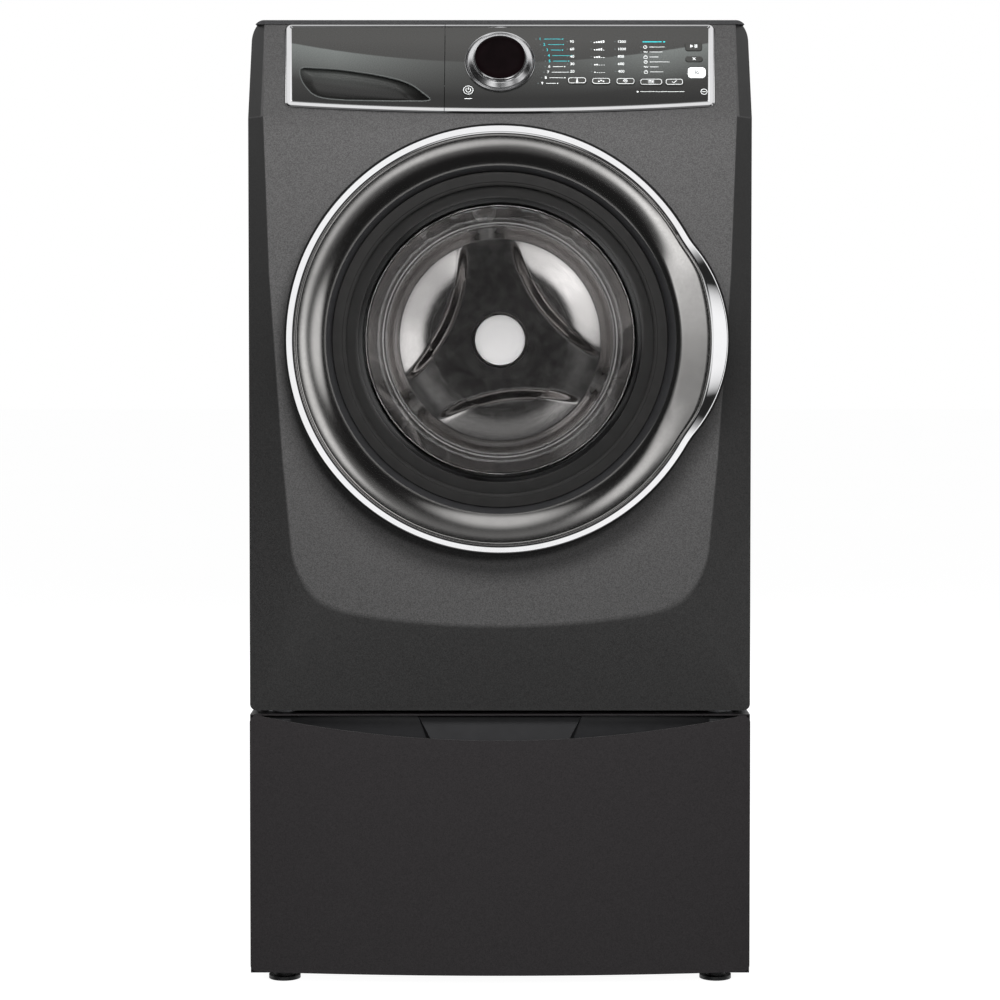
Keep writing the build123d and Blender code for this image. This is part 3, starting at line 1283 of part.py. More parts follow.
def make_pedestal_drawer_box():
    """The drawer's steel box with the moving members of its two rails."""
    t = DRAWER_SHEET
    front = DRAWER_FACE_BACK + 0.05
    box = block((-DRAWER_HALF, front, DRAWER_LOW), (DRAWER_HALF, DRAWER_REAR, DRAWER_TOP))
    box -= block(
        (-DRAWER_HALF + t, front + t, DRAWER_LOW + t), (DRAWER_HALF - t, DRAWER_REAR - t, DRAWER_TOP + 1)
    )
    rear = DRAWER_REAR - 2
    web = block((DRAWER_HALF - 0.5, PEDESTAL_FRONT + 3, RAIL_Z - 8), (DRAWER_HALF + 9, rear, RAIL_Z + 8))
    reach = RAIL_HEIGHT / 2 - RAIL_SHEET - FIT
    side = HALF - PEDESTAL_SHEET - RAIL_SHEET - 3
    web += block((DRAWER_HALF + 8, PEDESTAL_FRONT + 3, RAIL_Z - reach), (side, rear, RAIL_Z + reach))
    return box + web + mirror(web, Plane.YZ)


def make_outer_rails():
    """The fixed channels of the drawer rails, screwed to the pedestal's sides."""
    side = HALF - PEDESTAL_SHEET - 0.1
    half = RAIL_HEIGHT / 2
    front = PEDESTAL_FRONT + 2
    rail = block((DRAWER_HALF + 4, front, RAIL_Z - half), (side, DRAWER_REAR, RAIL_Z + half))
    rail -= block(
        (DRAWER_HALF + 3, front - 1, RAIL_Z - half + RAIL_SHEET),
        (side - RAIL_SHEET, DRAWER_REAR + 1, RAIL_Z + half - RAIL_SHEET),
    )
    return pair(rail)


def make_foot(x, y):
    """A levelling foot: pad, nut and threaded stud."""
    foot = post(FOOT_RADIUS, x, y, 0, FOOT_PAD) + post(FOOT_RADIUS - 7, x, y, FOOT_PAD, FOOT_PAD + 4)
    nut = Pos(x, y, PEDESTAL_LOW - 8 + 0.2) * extrude(RegularPolygon(9, 6), 5)
    return foot + nut + post(STUD_RADIUS, x, y, 8, DRAWER_LOW - 5)


def make_all():
    """Build every sub-part."""
    keep("front_panel", make_front_panel())
    keep("cabinet_wrap", make_cabinet_wrap())
    keep("top_panel", make_top_panel())
    keep("rear_access_cover", make_rear_access_cover())
    keep("base_pan", make_base_pan())
    keep("console_fascia", make_console_fascia())
    keep("console_trim", make_trim(1))
    keep("console_housing", make_console_housing())
    keep("display_window", make_display_window())
    keep("knob_ring", make_knob_ring())
    for button in BUTTONS:
        keep(button[0], make_button(button))
    keep("dispenser_front", make_dispenser_front())
    keep("dispenser_box", make_dispenser_box())
    keep("dispenser_housing", make_dispenser_housing())
    keep("water_hoses", make_water_hoses())
    keep("inlet_valve", make_inlet_valve())
    keep("power_cord_gland", make_cord_gland())
    keep("door_outer_ring", make_door_outer_ring())
    keep("door_frame", make_door_frame())
    keep("door_glass", make_door_glass())
    keep("door_back_cover", make_door_back_cover())
    keep("door_strike", make_door_strike())
    keep("door_hinge_arm", make_door_hinge_arm())
    keep("hinge_bracket", make_hinge_bracket())
    keep("door_lock", make_door_lock())
    keep("door_boot", make_door_boot())
    keep("tub_front", make_tub_front())
    keep("tub_rear", make_tub_rear())
    keep("counterweights", make_counterweights())
    keep("drum_bearings", make_drum_bearings())
    keep("heater", make_heater())
    keep("motor", make_motor())
    keep("motor_pulley", make_motor_pulley())
    keep("drive_belt", make_drive_belt())
    keep("drum_pulley", make_drum_pulley())
    keep("drum_shell", make_drum_shell())
    keep("drum_lifters", make_drum_lifters())
    keep("drum_spider", make_drum_spider())
    keep("hub_cap", make_hub_cap())
    keep("suspension_springs", make_suspension_springs())
    keep("damper_cylinders", make_damper_cylinders())
    keep("damper_rods", make_damper_rods())
    keep("drain_pump", make_drain_pump())
    keep("tub_hoses", make_tub_hoses())
    keep("pedestal_cabinet", make_pedestal_cabinet())
    keep("pedestal_drawer_front", make_pedestal_drawer_front())
    keep("pedestal_drawer_box", make_pedestal_drawer_box())
    keep("outer_rails", make_outer_rails())
    for side, x in (("left", -FOOT_X), ("right", FOOT_X)):
        for end, y in (("front", FOOT_FRONT), ("rear", FOOT_REAR)):
            keep(f"{end}_{side}_foot", make_foot(x, y))


if __name__ == "__main__":
    make_all()
    os.makedirs("parts", exist_ok=True)
    for name, part in parts.items():
        export_step(part, f"parts/{name}.step")
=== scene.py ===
"""Looks of a front load washing machine on its drawer pedestal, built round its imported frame.

Lengths are in millimetres in the frame's own axes until a mesh is made: +X right, -Y front, +Z up.
"""

import json
from math import atan2, cos, degrees, hypot, pi, radians, sin, sqrt, tan

import bmesh
import bpy
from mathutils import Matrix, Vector
from mathutils.geometry import tessellate_polygon


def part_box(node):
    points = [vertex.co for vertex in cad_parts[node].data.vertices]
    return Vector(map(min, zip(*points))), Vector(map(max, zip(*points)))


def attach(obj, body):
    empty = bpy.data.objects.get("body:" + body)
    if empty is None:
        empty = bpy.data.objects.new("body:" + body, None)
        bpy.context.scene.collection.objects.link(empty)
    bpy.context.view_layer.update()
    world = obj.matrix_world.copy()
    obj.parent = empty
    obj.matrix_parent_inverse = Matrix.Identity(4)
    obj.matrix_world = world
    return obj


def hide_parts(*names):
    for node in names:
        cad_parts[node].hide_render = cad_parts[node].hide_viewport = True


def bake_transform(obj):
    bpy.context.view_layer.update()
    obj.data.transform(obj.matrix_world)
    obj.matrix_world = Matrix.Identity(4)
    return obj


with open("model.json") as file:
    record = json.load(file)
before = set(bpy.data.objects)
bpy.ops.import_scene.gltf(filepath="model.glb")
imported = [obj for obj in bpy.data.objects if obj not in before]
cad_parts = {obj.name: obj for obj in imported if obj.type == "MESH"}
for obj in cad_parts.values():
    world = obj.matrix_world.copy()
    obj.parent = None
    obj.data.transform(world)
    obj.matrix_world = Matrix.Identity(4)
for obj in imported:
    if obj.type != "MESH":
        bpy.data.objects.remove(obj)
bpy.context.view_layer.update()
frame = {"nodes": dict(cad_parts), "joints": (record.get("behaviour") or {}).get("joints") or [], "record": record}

MM = 0.001
TURN = 2 * pi
NODES = frame["nodes"]
JOINTS = {joint["name"]: joint for joint in frame["joints"]}
SLOT_OF = {part["node"]: part["material_slot"] for part in frame["record"]["subparts"]}

# ---- Places read from the frame ------------------------------------------------------------------
DOOR_Z = JOINTS["drum_spin"]["pos_m"][2] / MM
KNOB = Vector(JOINTS["selector_turn"]["pos_m"]) / MM
OUT = Vector(JOINTS["selector_turn"]["axis"])
ACROSS = Vector((1, 0, 0))
UP = OUT.cross(ACROSS)
KNOB_RISE = 84.2  # the selector's centre, up the slanted console from its foot
KNOB_DEPTH = 8.0  # the selector's joint, out from the console's panel
SLANT_FOOT = 1190.0  # height at which the front panel starts to lean back


def span(node):
    """Low and high corner of a CAD node, in millimetres."""
    low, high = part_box(node)
    return low / MM, high / MM


PANEL_LOW, PANEL_HIGH = span("front_panel")
HALF = PANEL_HIGH.x
FRONT = PANEL_LOW.y
REAR = span("cabinet_wrap")[1].y
WORKTOP = span("top_panel")[1].z


def console(across, up, out):
    """A point on the slanted console: across, up its face from its foot, and out from the panel."""
    return KNOB + ACROSS * across + UP * (up - KNOB_RISE) + OUT * (out - KNOB_DEPTH)


def spot(angle, radius, y):
    """A point about the door's centre, angle in degrees."""
    return radius * cos(radians(angle)), y, DOOR_Z + radius * sin(radians(angle))


def circle(count):
    """Cosine and sine of evenly spaced turns."""
    return [(cos(TURN * k / count), sin(TURN * k / count)) for k in range(count)]


# ---- Material helpers ----------------------------------------------------------------------------
def put(tree, socket, source):
    """Link a socket to another node's output, or set it to a plain value."""
    if isinstance(source, bpy.types.NodeSocket):
        tree.links.new(source, socket)
    elif source is not None:
        socket.default_value = source


def node(tree, kind, *sources, **values):
    """A new shader node: sources for its inputs in order, values for its properties and named inputs."""
    made = tree.nodes.new("ShaderNode" + kind)
    for key, value in values.items():
        if key in made.inputs:
            put(tree, made.inputs[key], value)
        else:
            setattr(made, key, value)
    for socket, source in zip(made.inputs, sources):
        put(tree, socket, source)
    return made


def calc(tree, operation, *sources):
    """A value worked out from others."""
    return node(tree, "Math", *sources, operation=operation).outputs[0]


def axes(tree):
    """The X, Y and Z of a surface, in the piece's own coordinates."""
    place = node(tree, "TexCoord").outputs["Object"]
    return node(tree, "SeparateXYZ", place).outputs


def grain(tree, scale, stretch=(1, 1, 1)):
    """Noise in the piece's own coordinates, scale in cycles per metre."""
    place = node(tree, "TexCoord").outputs["Object"]
    stretched = node(tree, "Mapping", Vector=place, Scale=stretch).outputs["Vector"]
    return node(tree, "TexNoise", Vector=stretched, Scale=scale, Detail=3.0, Roughness=0.55).outputs["Fac"]


def span_map(tree, source, low, high, start=0.3, end=0.7):
    """Source from start to end, spread over low to high."""
    return node(tree, "MapRange", source, start, end, low, high).outputs["Result"]


def tint(tree, source, dark, light, start=0.3, end=0.7):
    """Source from start to end, as a colour from dark to light."""
    ramp = node(tree, "ValToRGB", source)
    for stop, place, colour in zip(ramp.color_ramp.elements, (start, end), (dark, light)):
        stop.position = place
        stop.color = (*colour, 1)
    return ramp.outputs["Color"]


def bumpy(tree, surface, source, height, strength=1.0):
    """Relief of the given height from a source."""
    bump = node(tree, "Bump", Strength=strength, Distance=height * MM, Height=source)
    tree.links.new(bump.outputs["Normal"], surface.inputs["Normal"])


def shades(colour, spread):
    """A darker and a lighter shade of a colour."""
    return [c * (1 - spread) for c in colour], [min(c * (1 + spread), 1.0) for c in colour]


def shader(name, colour, roughness, metallic=0.0, **sockets):
    """A material with one Principled shader, and its node tree and shader node."""
    material = bpy.data.materials.new(name)
    material.use_nodes = True
    tree = material.node_tree
    surface = tree.nodes["Principled BSDF"]
    surface.inputs["Base Color"].default_value = (*colour, 1)
    surface.inputs["Roughness"].default_value = roughness
    surface.inputs["Metallic"].default_value = metallic
    for socket, value in sockets.items():
        surface.inputs[socket.replace("_", " ")].default_value = value
    return material, tree, surface


def finish(
    name, colour, roughness, metallic=0.0, mottle=0.08, scale=40.0, fine=900.0, relief=0.02, **sockets
):
    """A plain surface with slow colour change, uneven gloss and fine relief."""
    material, tree, surface = shader(name, colour, roughness, metallic, **sockets)
    put(tree, surface.inputs["Base Color"], tint(tree, grain(tree, scale), *shades(colour, mottle)))
    tight = grain(tree, fine)
    put(tree, surface.inputs["Roughness"], span_map(tree, tight, roughness * 0.85, roughness * 1.15))
    bumpy(tree, surface, tight, relief)
    return material


def flake_paint(name, colour, spread=0.3, flake=1100.0):
    """Enamel with fine flakes of slightly different shade and tilt."""
    material, tree, surface = shader(name, colour, 0.45, 0.12, Specular_IOR_Level=0.2)
    place = node(tree, "TexCoord").outputs["Object"]
    cells = node(tree, "TexVoronoi", Vector=place, Scale=flake)
    split = node(tree, "SeparateColor", cells.outputs["Color"]).outputs
    put(tree, surface.inputs["Base Color"], tint(tree, split["Red"], *shades(colour, spread), 0.05, 0.95))
    put(tree, surface.inputs["Roughness"], span_map(tree, grain(tree, 14.0), 0.43, 0.455))
    bumpy(tree, surface, split["Green"], 0.02, 0.5)
    return material


# ---- Materials -----------------------------------------------------------------------------------
PAINT = (0.061, 0.06, 0.06)
PANEL_STEP = 1.5  # width over which the front panel's painted shade changes
PANEL_END = 20.0  # how far the slanted bevels reach in from the cabinet's sides


def panel_paint_with_painted_shade():
    """Enamel of the front panel, with painted shade: darker on the bevels and the foot, set back from its raised
    middle, and a little darker over the slanted top.
    """
    material = flake_paint("panel_enamel_painted_shade", PAINT)
    tree = material.node_tree
    base = tree.nodes["Principled BSDF"].inputs["Base Color"]
    x, y, z = axes(tree)
    set_back = span_map(tree, y, 0.0, 1.0, (FRONT + 0.3) * MM, (FRONT + PANEL_STEP) * MM)
    slanted = span_map(tree, z, 0.0, 1.0, (SLANT_FOOT - PANEL_STEP) * MM, (SLANT_FOOT + PANEL_STEP) * MM)
    inner, outer = HALF - PANEL_END, HALF - PANEL_END + 1.4
    end = span_map(tree, calc(tree, "ABSOLUTE", x), 0.0, 1.0, inner * MM, outer * MM)
    lower = calc(tree, "MULTIPLY", set_back, calc(tree, "SUBTRACT", 1.0, slanted))
    bevelled = calc(tree, "MAXIMUM", lower, calc(tree, "MULTIPLY", end, slanted))
    # painted shade: the set-back bevels and foot are darkened, more so higher up
    deep = span_map(tree, z, 0.47, 0.19, 560 * MM, 1150 * MM)
    # painted shade: the whole slanted top is darkened a little, blended over its foot
    softer = span_map(tree, z, 1.0, 0.86, (SLANT_FOOT - 25) * MM, (SLANT_FOOT + 8) * MM)
    share = node(tree, "Mix", bevelled, None, softer, deep, data_type="FLOAT").outputs[0]
    deeper = node(tree, "VectorMath", base.links[0].from_socket, operation="SCALE", Scale=share)
    tree.links.new(deeper.outputs[0], base)
    return material


def bowl_glass():
    """Clear glass that lets lamps through to what is behind it."""
    clear = (0.965, 0.967, 0.967)
    material, tree, surface = shader("bowl_glass", clear, 0.0, 0.0, Transmission_Weight=1.0, IOR=1.5)
    shadow = node(tree, "LightPath").outputs["Is Shadow Ray"]
    through = node(tree, "BsdfTransparent", Color=(*clear, 1)).outputs["BSDF"]
    mix = node(tree, "MixShader", shadow, surface.outputs["BSDF"], through)
    tree.links.new(mix.outputs["Shader"], tree.nodes["Material Output"].inputs["Surface"])
    return material


paint = flake_paint("titanium_enamel", PAINT)
# painted shade: the pedestal's enamel is a darker copy of the body's, standing for the dimmer light low down
pedestal_paint_painted_shade = flake_paint("pedestal_enamel_painted_shade", (0.0245, 0.0225, 0.0235), 0.22)
chrome = finish("polished_chrome", (0.9, 0.9, 0.91), 0.07, 1.0, 0.02, 20.0, 200.0, 0.0)
satin = finish("satin_chrome", (0.52, 0.51, 0.5), 0.17, 1.0, 0.05, 30.0, 300.0, 0.0)
black = finish("black_moulding", (0.018, 0.018, 0.019), 0.45, 0.0, 0.1, 60.0, 1400.0, 0.03)
frame_black = finish(
    "door_frame_moulding", (0.0125, 0.0122, 0.012), 0.34, 0.0, 0.1, 60.0, 1400.0, 0.01,
    Specular_IOR_Level=0.25,
)
white = finish("white_moulding", (0.8, 0.81, 0.82), 0.42, 0.0, 0.03)
steel = finish("bright_steel", (0.5, 0.5, 0.51), 0.3, 1.0, 0.06)
FINISHES = {
    "body_paint": paint,
    "worktop_paint": paint,
    "galvanised_steel": finish("galvanised_sheet", (0.42, 0.43, 0.44), 0.45, 0.9, 0.07, 55.0),
    "fascia_plastic": finish("fascia_moulding", (0.055, 0.054, 0.05), 0.3, 0.3, 0.05, 30.0, 1300.0, 0.006),
    "chrome_trim": chrome,
    "satin_chrome": satin,
    "black_plastic": black,
    "grey_plastic": finish("grey_moulding", (0.33, 0.34, 0.35), 0.5, 0.0, 0.06),
    "white_plastic": white,
    "frame_plastic": frame_black,
    "display_glass": finish(
        "smoked_window", (0.0022, 0.0012, 0.0014), 0.12, 0.0, 0.3, 50.0, 200.0, 0.0, Specular_IOR_Level=0.03
    ),
    "button_plastic": finish("key_moulding", (0.036, 0.036, 0.034), 0.3, 0.2, 0.05),
    "button_white": white,
    "bowl_glass": bowl_glass(),
    "boot_rubber": finish("boot_rubber", (0.045, 0.047, 0.05), 0.55, 0.0, 0.12, 80.0, 700.0, 0.05),
    "hose_rubber": finish("hose_rubber", (0.03, 0.03, 0.03), 0.5, 0.0, 0.2),
    "cast_weight": finish("cast_weight", (0.4, 0.39, 0.37), 0.85, 0.0, 0.2, 90.0, 300.0, 0.3),
    "tub_plastic": finish("tub_moulding", (0.5, 0.51, 0.52), 0.5, 0.0, 0.06),
    "stainless": finish("stainless_drum", (0.62, 0.62, 0.61), 0.22, 1.0, 0.05, 30.0, 800.0, 0.01),
    "cast_aluminium": finish("cast_aluminium", (0.6, 0.6, 0.61), 0.5, 1.0, 0.08, 60.0, 500.0, 0.08),
    "steel": steel,
    "belt_rubber": finish("belt_rubber", (0.02, 0.02, 0.02), 0.6, 0.0, 0.1),
    "spring_steel": finish("spring_steel", (0.35, 0.35, 0.36), 0.35, 1.0, 0.1),
}


def dress(name, material):
    """Give a CAD node one finish."""
    data = NODES[name].data
    data.materials.clear()
    data.materials.append(material)


for name, slot in SLOT_OF.items():
    dress(name, FINISHES[slot])
dress("pedestal_drawer_front", pedestal_paint_painted_shade)
dress("pedestal_cabinet", pedestal_paint_painted_shade)
dress("front_panel", panel_paint_with_painted_shade())
dress("door_back_cover", frame_black)
# painted shade: the worktop's enamel is darker than the body's, for the shadowed line along its front edge
dress("top_panel", flake_paint("worktop_enamel_painted_shade", (0.03, 0.03, 0.031), 0.2))


# ---- Mesh helpers --------------------------------------------------------------------------------
def skin(loops, closed=True, ring=False, caps=False):
    """Corners and faces of a surface through loops of equally many points."""
    size = len(loops[0])
    count = len(loops)
    faces = []
    for i in range(count if ring else count - 1):
        near, far = i * size, (i + 1) % count * size
        for k in range(size if closed else size - 1):
            step = (k + 1) % size
            faces.append((near + k, near + step, far + step, far + k))
    if caps:
        faces.append(tuple(reversed(range(size))))
        faces.append(tuple(range((count - 1) * size, count * size)))
    return [point for loop in loops for point in loop], faces


def join(*surfaces):
    """Several (corners, faces) surfaces as one."""
    corners, faces = [], []
    for some, more in surfaces:
        base = len(corners)
        corners += list(some)
        faces += [tuple(base + k for k in face) for face in more]
    return corners, faces


def piece(name, surface, body, slot, *materials, sharp=35.0, stands_for=()):
    """A mesh from a surface, with its finish; it rides on its body, if one is named."""
    corners, faces = surface
    data = bpy.data.meshes.new(name)
    data.from_pydata([Vector(corner) * MM for corner in corners], [], faces)
    work = bmesh.new()
    work.from_mesh(data)
    bmesh.ops.recalc_face_normals(work, faces=work.faces)
    work.to_mesh(data)
    work.free()
    data.shade_smooth()
    data.set_sharp_from_angle(angle=radians(sharp))
    for material in materials or [FINISHES[slot]]:
        data.materials.append(material)
    made = bpy.data.objects.new(name, data)
    bpy.context.scene.collection.objects.link(made)
    if body:
        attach(made, body)
    if stands_for:
        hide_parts(*stands_for)
    return made


def rounded(points, radius, steps=4, closed=False):
    """A line of 2D points with its corners rounded; radius may be one value or one per corner."""
    radii = radius if isinstance(radius, (list, tuple)) else [radius] * len(points)
    line = []
    count = len(points)
    for i, point in enumerate(points):
        if not closed and i in (0, count - 1):
            line.append(tuple(point))
            continue
        before = Vector(points[i - 1]) - Vector(point)
        after = Vector(points[(i + 1) % count]) - Vector(point)
        half = before.angle(after) / 2
        bend = min(radii[i], 0.49 * min(before.length, after.length) * abs(sin(half) / max(cos(half), 1e-6)))
        if bend < 1e-6 or abs(cos(half)) < 1e-4:
            line.append(tuple(point))
            continue
        reach = bend * cos(half) / sin(half)
        start = Vector(point) + before.normalized() * reach
        end = Vector(point) + after.normalized() * reach
        middle = Vector(point) + (before.normalized() + after.normalized()).normalized() * (bend / sin(half))
        first = atan2(start.y - middle.y, start.x - middle.x)
        sweep = atan2(end.y - middle.y, end.x - middle.x) - first
        sweep = (sweep + pi) % TURN - pi
        for k in range(steps + 1):
            turn = first + sweep * k / steps
            line.append((middle.x + bend * cos(turn), middle.y + bend * sin(turn)))
    return line


def turned(profile, segments=160, at=(0.0, DOOR_Z), closed=True):
    """A surface turned about a line along Y from (radius, y) points."""
    turns = circle(segments)
    loops = [[(at[0] + radius * c, y, at[1] + radius * s) for c, s in turns] for radius, y in profile]
    return skin(loops, ring=closed)


def ease(value, low, high):
    """A smooth step from 0 at low to 1 at high."""
    share = min(max((value - low) / (high - low), 0.0), 1.0)
    return share * share * (3 - 2 * share)


# ---- Door ----------------------------------------------------------------------------------------
RING_LOW, RING_HIGH = span("door_outer_ring")
RING_FRONT, RING_BACK = RING_LOW.y, RING_HIGH.y
RING_HOLE = span("door_frame")[1].x + 0.3
RING_CREASE = 245.0  # radius of the crease that the flat grip ends at
DOOR_RADIUS = -RING_LOW.x
GRIP_AT = 110.0
GRIP_RADIUS = RING_HIGH.x - GRIP_AT
GRIP_BLEND = 150.0
BEVEL = 12.0
SHOULDER = RING_FRONT + 10.5
RIM_BLACK = 2.4
LEAN_IN = 6.5
GROOVE = 2.2
CHROME_STRIPS = range(1, 10)  # strips of the ring's skin with the polished finish
DARK_REFLECTION_STRIPS = 8  # strips at the inner end of the ring's skin with the black finish: a painted dark reflection where the chrome turns in towards the glass
HINGE_CLEAR = (17.5, 18.5)  # degrees beside the hinge within which the rim is cut back


def blend_centre():
    """Centre of the hollow arc that joins the door's circle to the grip's circle."""
    far, near = DOOR_RADIUS + GRIP_BLEND, GRIP_RADIUS + GRIP_BLEND
    x = (far**2 - near**2 + GRIP_AT**2) / (2 * GRIP_AT)
    return x, sqrt(far**2 - x**2)


def door_reach(angle, inset):
    """Radius of the door's outline, moved in by the inset, at an angle in degrees."""
    cx, cz = blend_centre()
    turn = abs((angle + 180) % 360 - 180)
    if turn >= degrees(atan2(cz, cx)):
        return DOOR_RADIUS - inset
    share = (GRIP_RADIUS - inset) / (GRIP_RADIUS + GRIP_BLEND)
    touch = degrees(atan2(cz * share, GRIP_AT + (cx - GRIP_AT) * share))
    dx, dz = cos(radians(turn)), sin(radians(turn))
    if turn >= touch:
        along = dx * cx + dz * cz
        return along - sqrt(along**2 - cx**2 - cz**2 + (GRIP_BLEND + inset) ** 2)
    along = dx * GRIP_AT
    return along + sqrt(along**2 - GRIP_AT**2 + (GRIP_RADIUS - inset) ** 2)


def between(start, end, share):
    """A 2D point part of the way from start to end."""
    return tuple(a + (b - a) * share for a, b in zip(start, end))


def ring_profile(angle):
    """Radius and y of the ring's surface at one angle, from its back edge round to its inner edge."""
    off = abs((angle + 180) % 360 - 180)
    grip = 1 - ease(off, 14.0, 52.0)
    facet = 1 - ease(off, 17.0, 30.0)
    rim = door_reach(angle, RIM_BLACK)
    crest = min(DOOR_RADIUS - BEVEL - 1.5 + 7.5 * facet, door_reach(angle, BEVEL))
    top = RING_FRONT
    foot = (rim - 1.6, SHOULDER - 1.8)
    head = (crest + 2.2, top + 1.6)
    line = [(rim - 1.5, RING_BACK), (rim, RING_BACK + 1.5), (rim, SHOULDER + 1.2)]
    line += [(rim - 0.5, SHOULDER - 0.4), foot, between(foot, head, 0.06), between(foot, head, 0.94), head]
    line += [(crest + 0.8, top + 0.5), (crest, top + 0.2)]
    sink = 1.6 * (1 - grip)
    line += [(crest - 0.5, top + 0.4 + sink * 0.7), (crest - GROOVE / 2, top + 0.4 + sink)]
    line += [(crest - GROOVE, top + 0.4 + sink * 0.3)]
    start = crest - GROOVE - 0.8
    lip = top + 0.3
    depth = RING_BACK - 2 - top
    steps = 16
    for k in range(steps + 1):
        share = k / steps
        turn = share * pi / 2
        out = (1 - sin(turn) ** 1.35, (1 - cos(turn)) ** 1.08)
        plain = (RING_HOLE + (start - RING_HOLE) * out[0], lip + depth * out[1])
        if share <= 0.5:
            flat = (start + (RING_CREASE - start) * share * 2, lip + LEAN_IN * share * 2)
        else:
            inner = (share - 0.5) * pi
            radius = RING_HOLE + (RING_CREASE - RING_HOLE) * (1 - sin(inner) ** 1.2)
            flat = (radius, lip + LEAN_IN + (depth - LEAN_IN) * (1 - cos(inner)))
        line.append(between(plain, flat, grip))
    return line + [(RING_HOLE, RING_BACK - 1), (RING_HOLE + 2.5, RING_BACK)]


def make_door_ring():
    """The chromed outer ring: polished bevel, groove, satin roll and the grip on the right; its inner strips are
    black, a painted dark reflection of the glass.
    """
    segments = 288
    loops = []
    for k in range(segments):
        angle = 360.0 * k / segments
        loops.append([spot(angle, radius, y) for radius, y in ring_profile(angle)])
    ring = piece(
        "door_ring", skin(loops, ring=True), "door", "satin_chrome", satin, chrome, black,
        sharp=40.0, stands_for=["door_outer_ring"],
    )
    size = len(loops[0])
    # the inner strips take the black finish: painted dark reflection where the chrome turns in towards the glass
    for face in ring.data.polygons:
        strip = min(v % size for v in face.vertices)
        face.material_index = 1 if strip in CHROME_STRIPS else 2 if strip >= size - DARK_REFLECTION_STRIPS else 0


def make_door_rim():
    """The thin black moulding behind the chrome's outer edge; its near-black colour is also painted shade for the
    shadowed gap round the ring.
    """
    front = RING_FRONT + 12.0
    inner = RIM_BLACK + 0.3
    section = ((0.6, 1.0), (0.0, 0.96), (0.0, 0.02), (0.5, 0.0), (inner, 0.0), (inner, 1.0))
    loops = []
    for inset, depth in section:
        loop = []
        for turn in range(360):
            beside_hinge = 1 - ease(abs(turn - 180), *HINGE_CLEAR)
            back = RING_BACK + 0.3 - (RING_BACK - front - 2.5) * beside_hinge
            loop.append(spot(turn, door_reach(turn, inset), front + (back - front) * depth))
        loops.append(loop)
    # partly real black moulding, partly painted shade of the gap behind the ring
    rim_black_and_shade = finish("rim_moulding_and_shade", (0.006, 0.006, 0.006), 0.5, 0.0, 0.1, Specular_IOR_Level=0.15)
    piece("door_rim", skin(loops, ring=True), "door", "black_plastic", rim_black_and_shade, sharp=40)


def make_door_frame():
    """The dark stepped ring between the chrome and the glass."""
    low, high = span("door_frame")
    inner, outer = -low.x - 18.0, high.x
    front, back = low.y, high.y
    profile = [(outer, back), (outer, front + 1.0), (outer - 1.0, front + 0.2), (outer - 5, front)]
    profile += [(inner + 8, front + 0.6), (inner + 5, front + 1.0), (inner + 4.2, front + 2.0)]
    profile += [(inner + 3.4, front + 2.2), (inner + 1.2, front + 2.6), (inner, front + 3.6)]
    profile += [(inner, front + 4.6), (inner + 6, front + 4.7), (inner + 6, back)]
    piece("door_frame_ring", turned(profile), "door", "frame_plastic", stands_for=["door_frame"])


def make_door_glass():
    """The deep glass bowl, with a stepped rim and a soft dome at its end."""
    low, high = span("door_glass")
    front, back = low.y, high.y
    seat = front + 5.7
    wall = 5.0
    mouth, tip = 182.0, 158.0
    outside = [(high.x, front), (high.x, seat), (mouth + wall, seat), (mouth + wall - 2, seat + 8)]
    outside += [(tip + wall, back - 14), (tip - 10, back - 1.5), (tip - 60, back), (0, back)]
    inside = [(0, back - wall), (tip - 62, back - wall), (tip - 14, back - wall - 2), (tip - 1, back - 19)]
    inside += [(mouth - 3, seat + 6), (mouth, front + 1.5), (mouth + 4, front)]
    outline = rounded(outside, [0, 0, 0, 3, 8, 14, 20, 0], 6)
    outline += rounded(inside, [0, 20, 12, 10, 8, 3, 0], 6)
    piece("glass_bowl", turned(outline, 200), "door", "bowl_glass", sharp=60, stands_for=["door_glass"])


# ---- Pedestal drawer front -----------------------------------------------------------------------
FACE_LOW, FACE_HIGH = span("pedestal_drawer_front")
SCOOP_HALF = HALF - 13.0
SCOOP_DROP = 31.0
PULL_TALL = 17.0  # height of the black insert below the scoop
BOW_RISE = 24.0
BOW = (HALF**2 + BOW_RISE**2) / (2 * BOW_RISE)


def face_y(x):
    """Front of the bowed drawer face at a distance from its middle."""
    return FACE_LOW.y + BOW - sqrt(BOW**2 - x**2)


def make_drawer_face():
    """The enamelled face, its black pull insert and the rolled hem along the scoop, made light grey as a painted
    highlight.
    """
    face = NODES["pedestal_drawer_front"].data
    face.materials.append(black)
    for polygon in face.polygons:
        x, y, z = polygon.center / MM
        inside = y > face_y(min(abs(x), HALF)) + 1.62 and abs(x) < SCOOP_HALF - 3
        if inside and z > FACE_HIGH.z - SCOOP_DROP - PULL_TALL:
            polygon.material_index = 1
    loops = []
    count = 72
    for k in range(count + 1):
        x = (SCOOP_HALF - 1) * (2 * k / count - 1)
        z = FACE_HIGH.z - SCOOP_DROP * (1 - (x / SCOOP_HALF) ** 2)
        loops.append([(x, face_y(x) + 0.85 - 0.8 * c, z - 0.75 + 0.9 * s) for c, s in circle(10)])
    # painted highlight: the hem is a lighter grey than the pedestal's enamel, for the light caught along its roll
    hem_painted_highlight = finish("rolled_hem_painted_highlight", (0.16, 0.155, 0.155), 0.35, 0.6, 0.05)
    piece("drawer_hem", skin(loops, caps=True), "storage_drawer", "body_paint", hem_painted_highlight, sharp=60)


make_drawer_face()
make_door_ring()
make_door_rim()
make_door_frame()
make_door_glass()


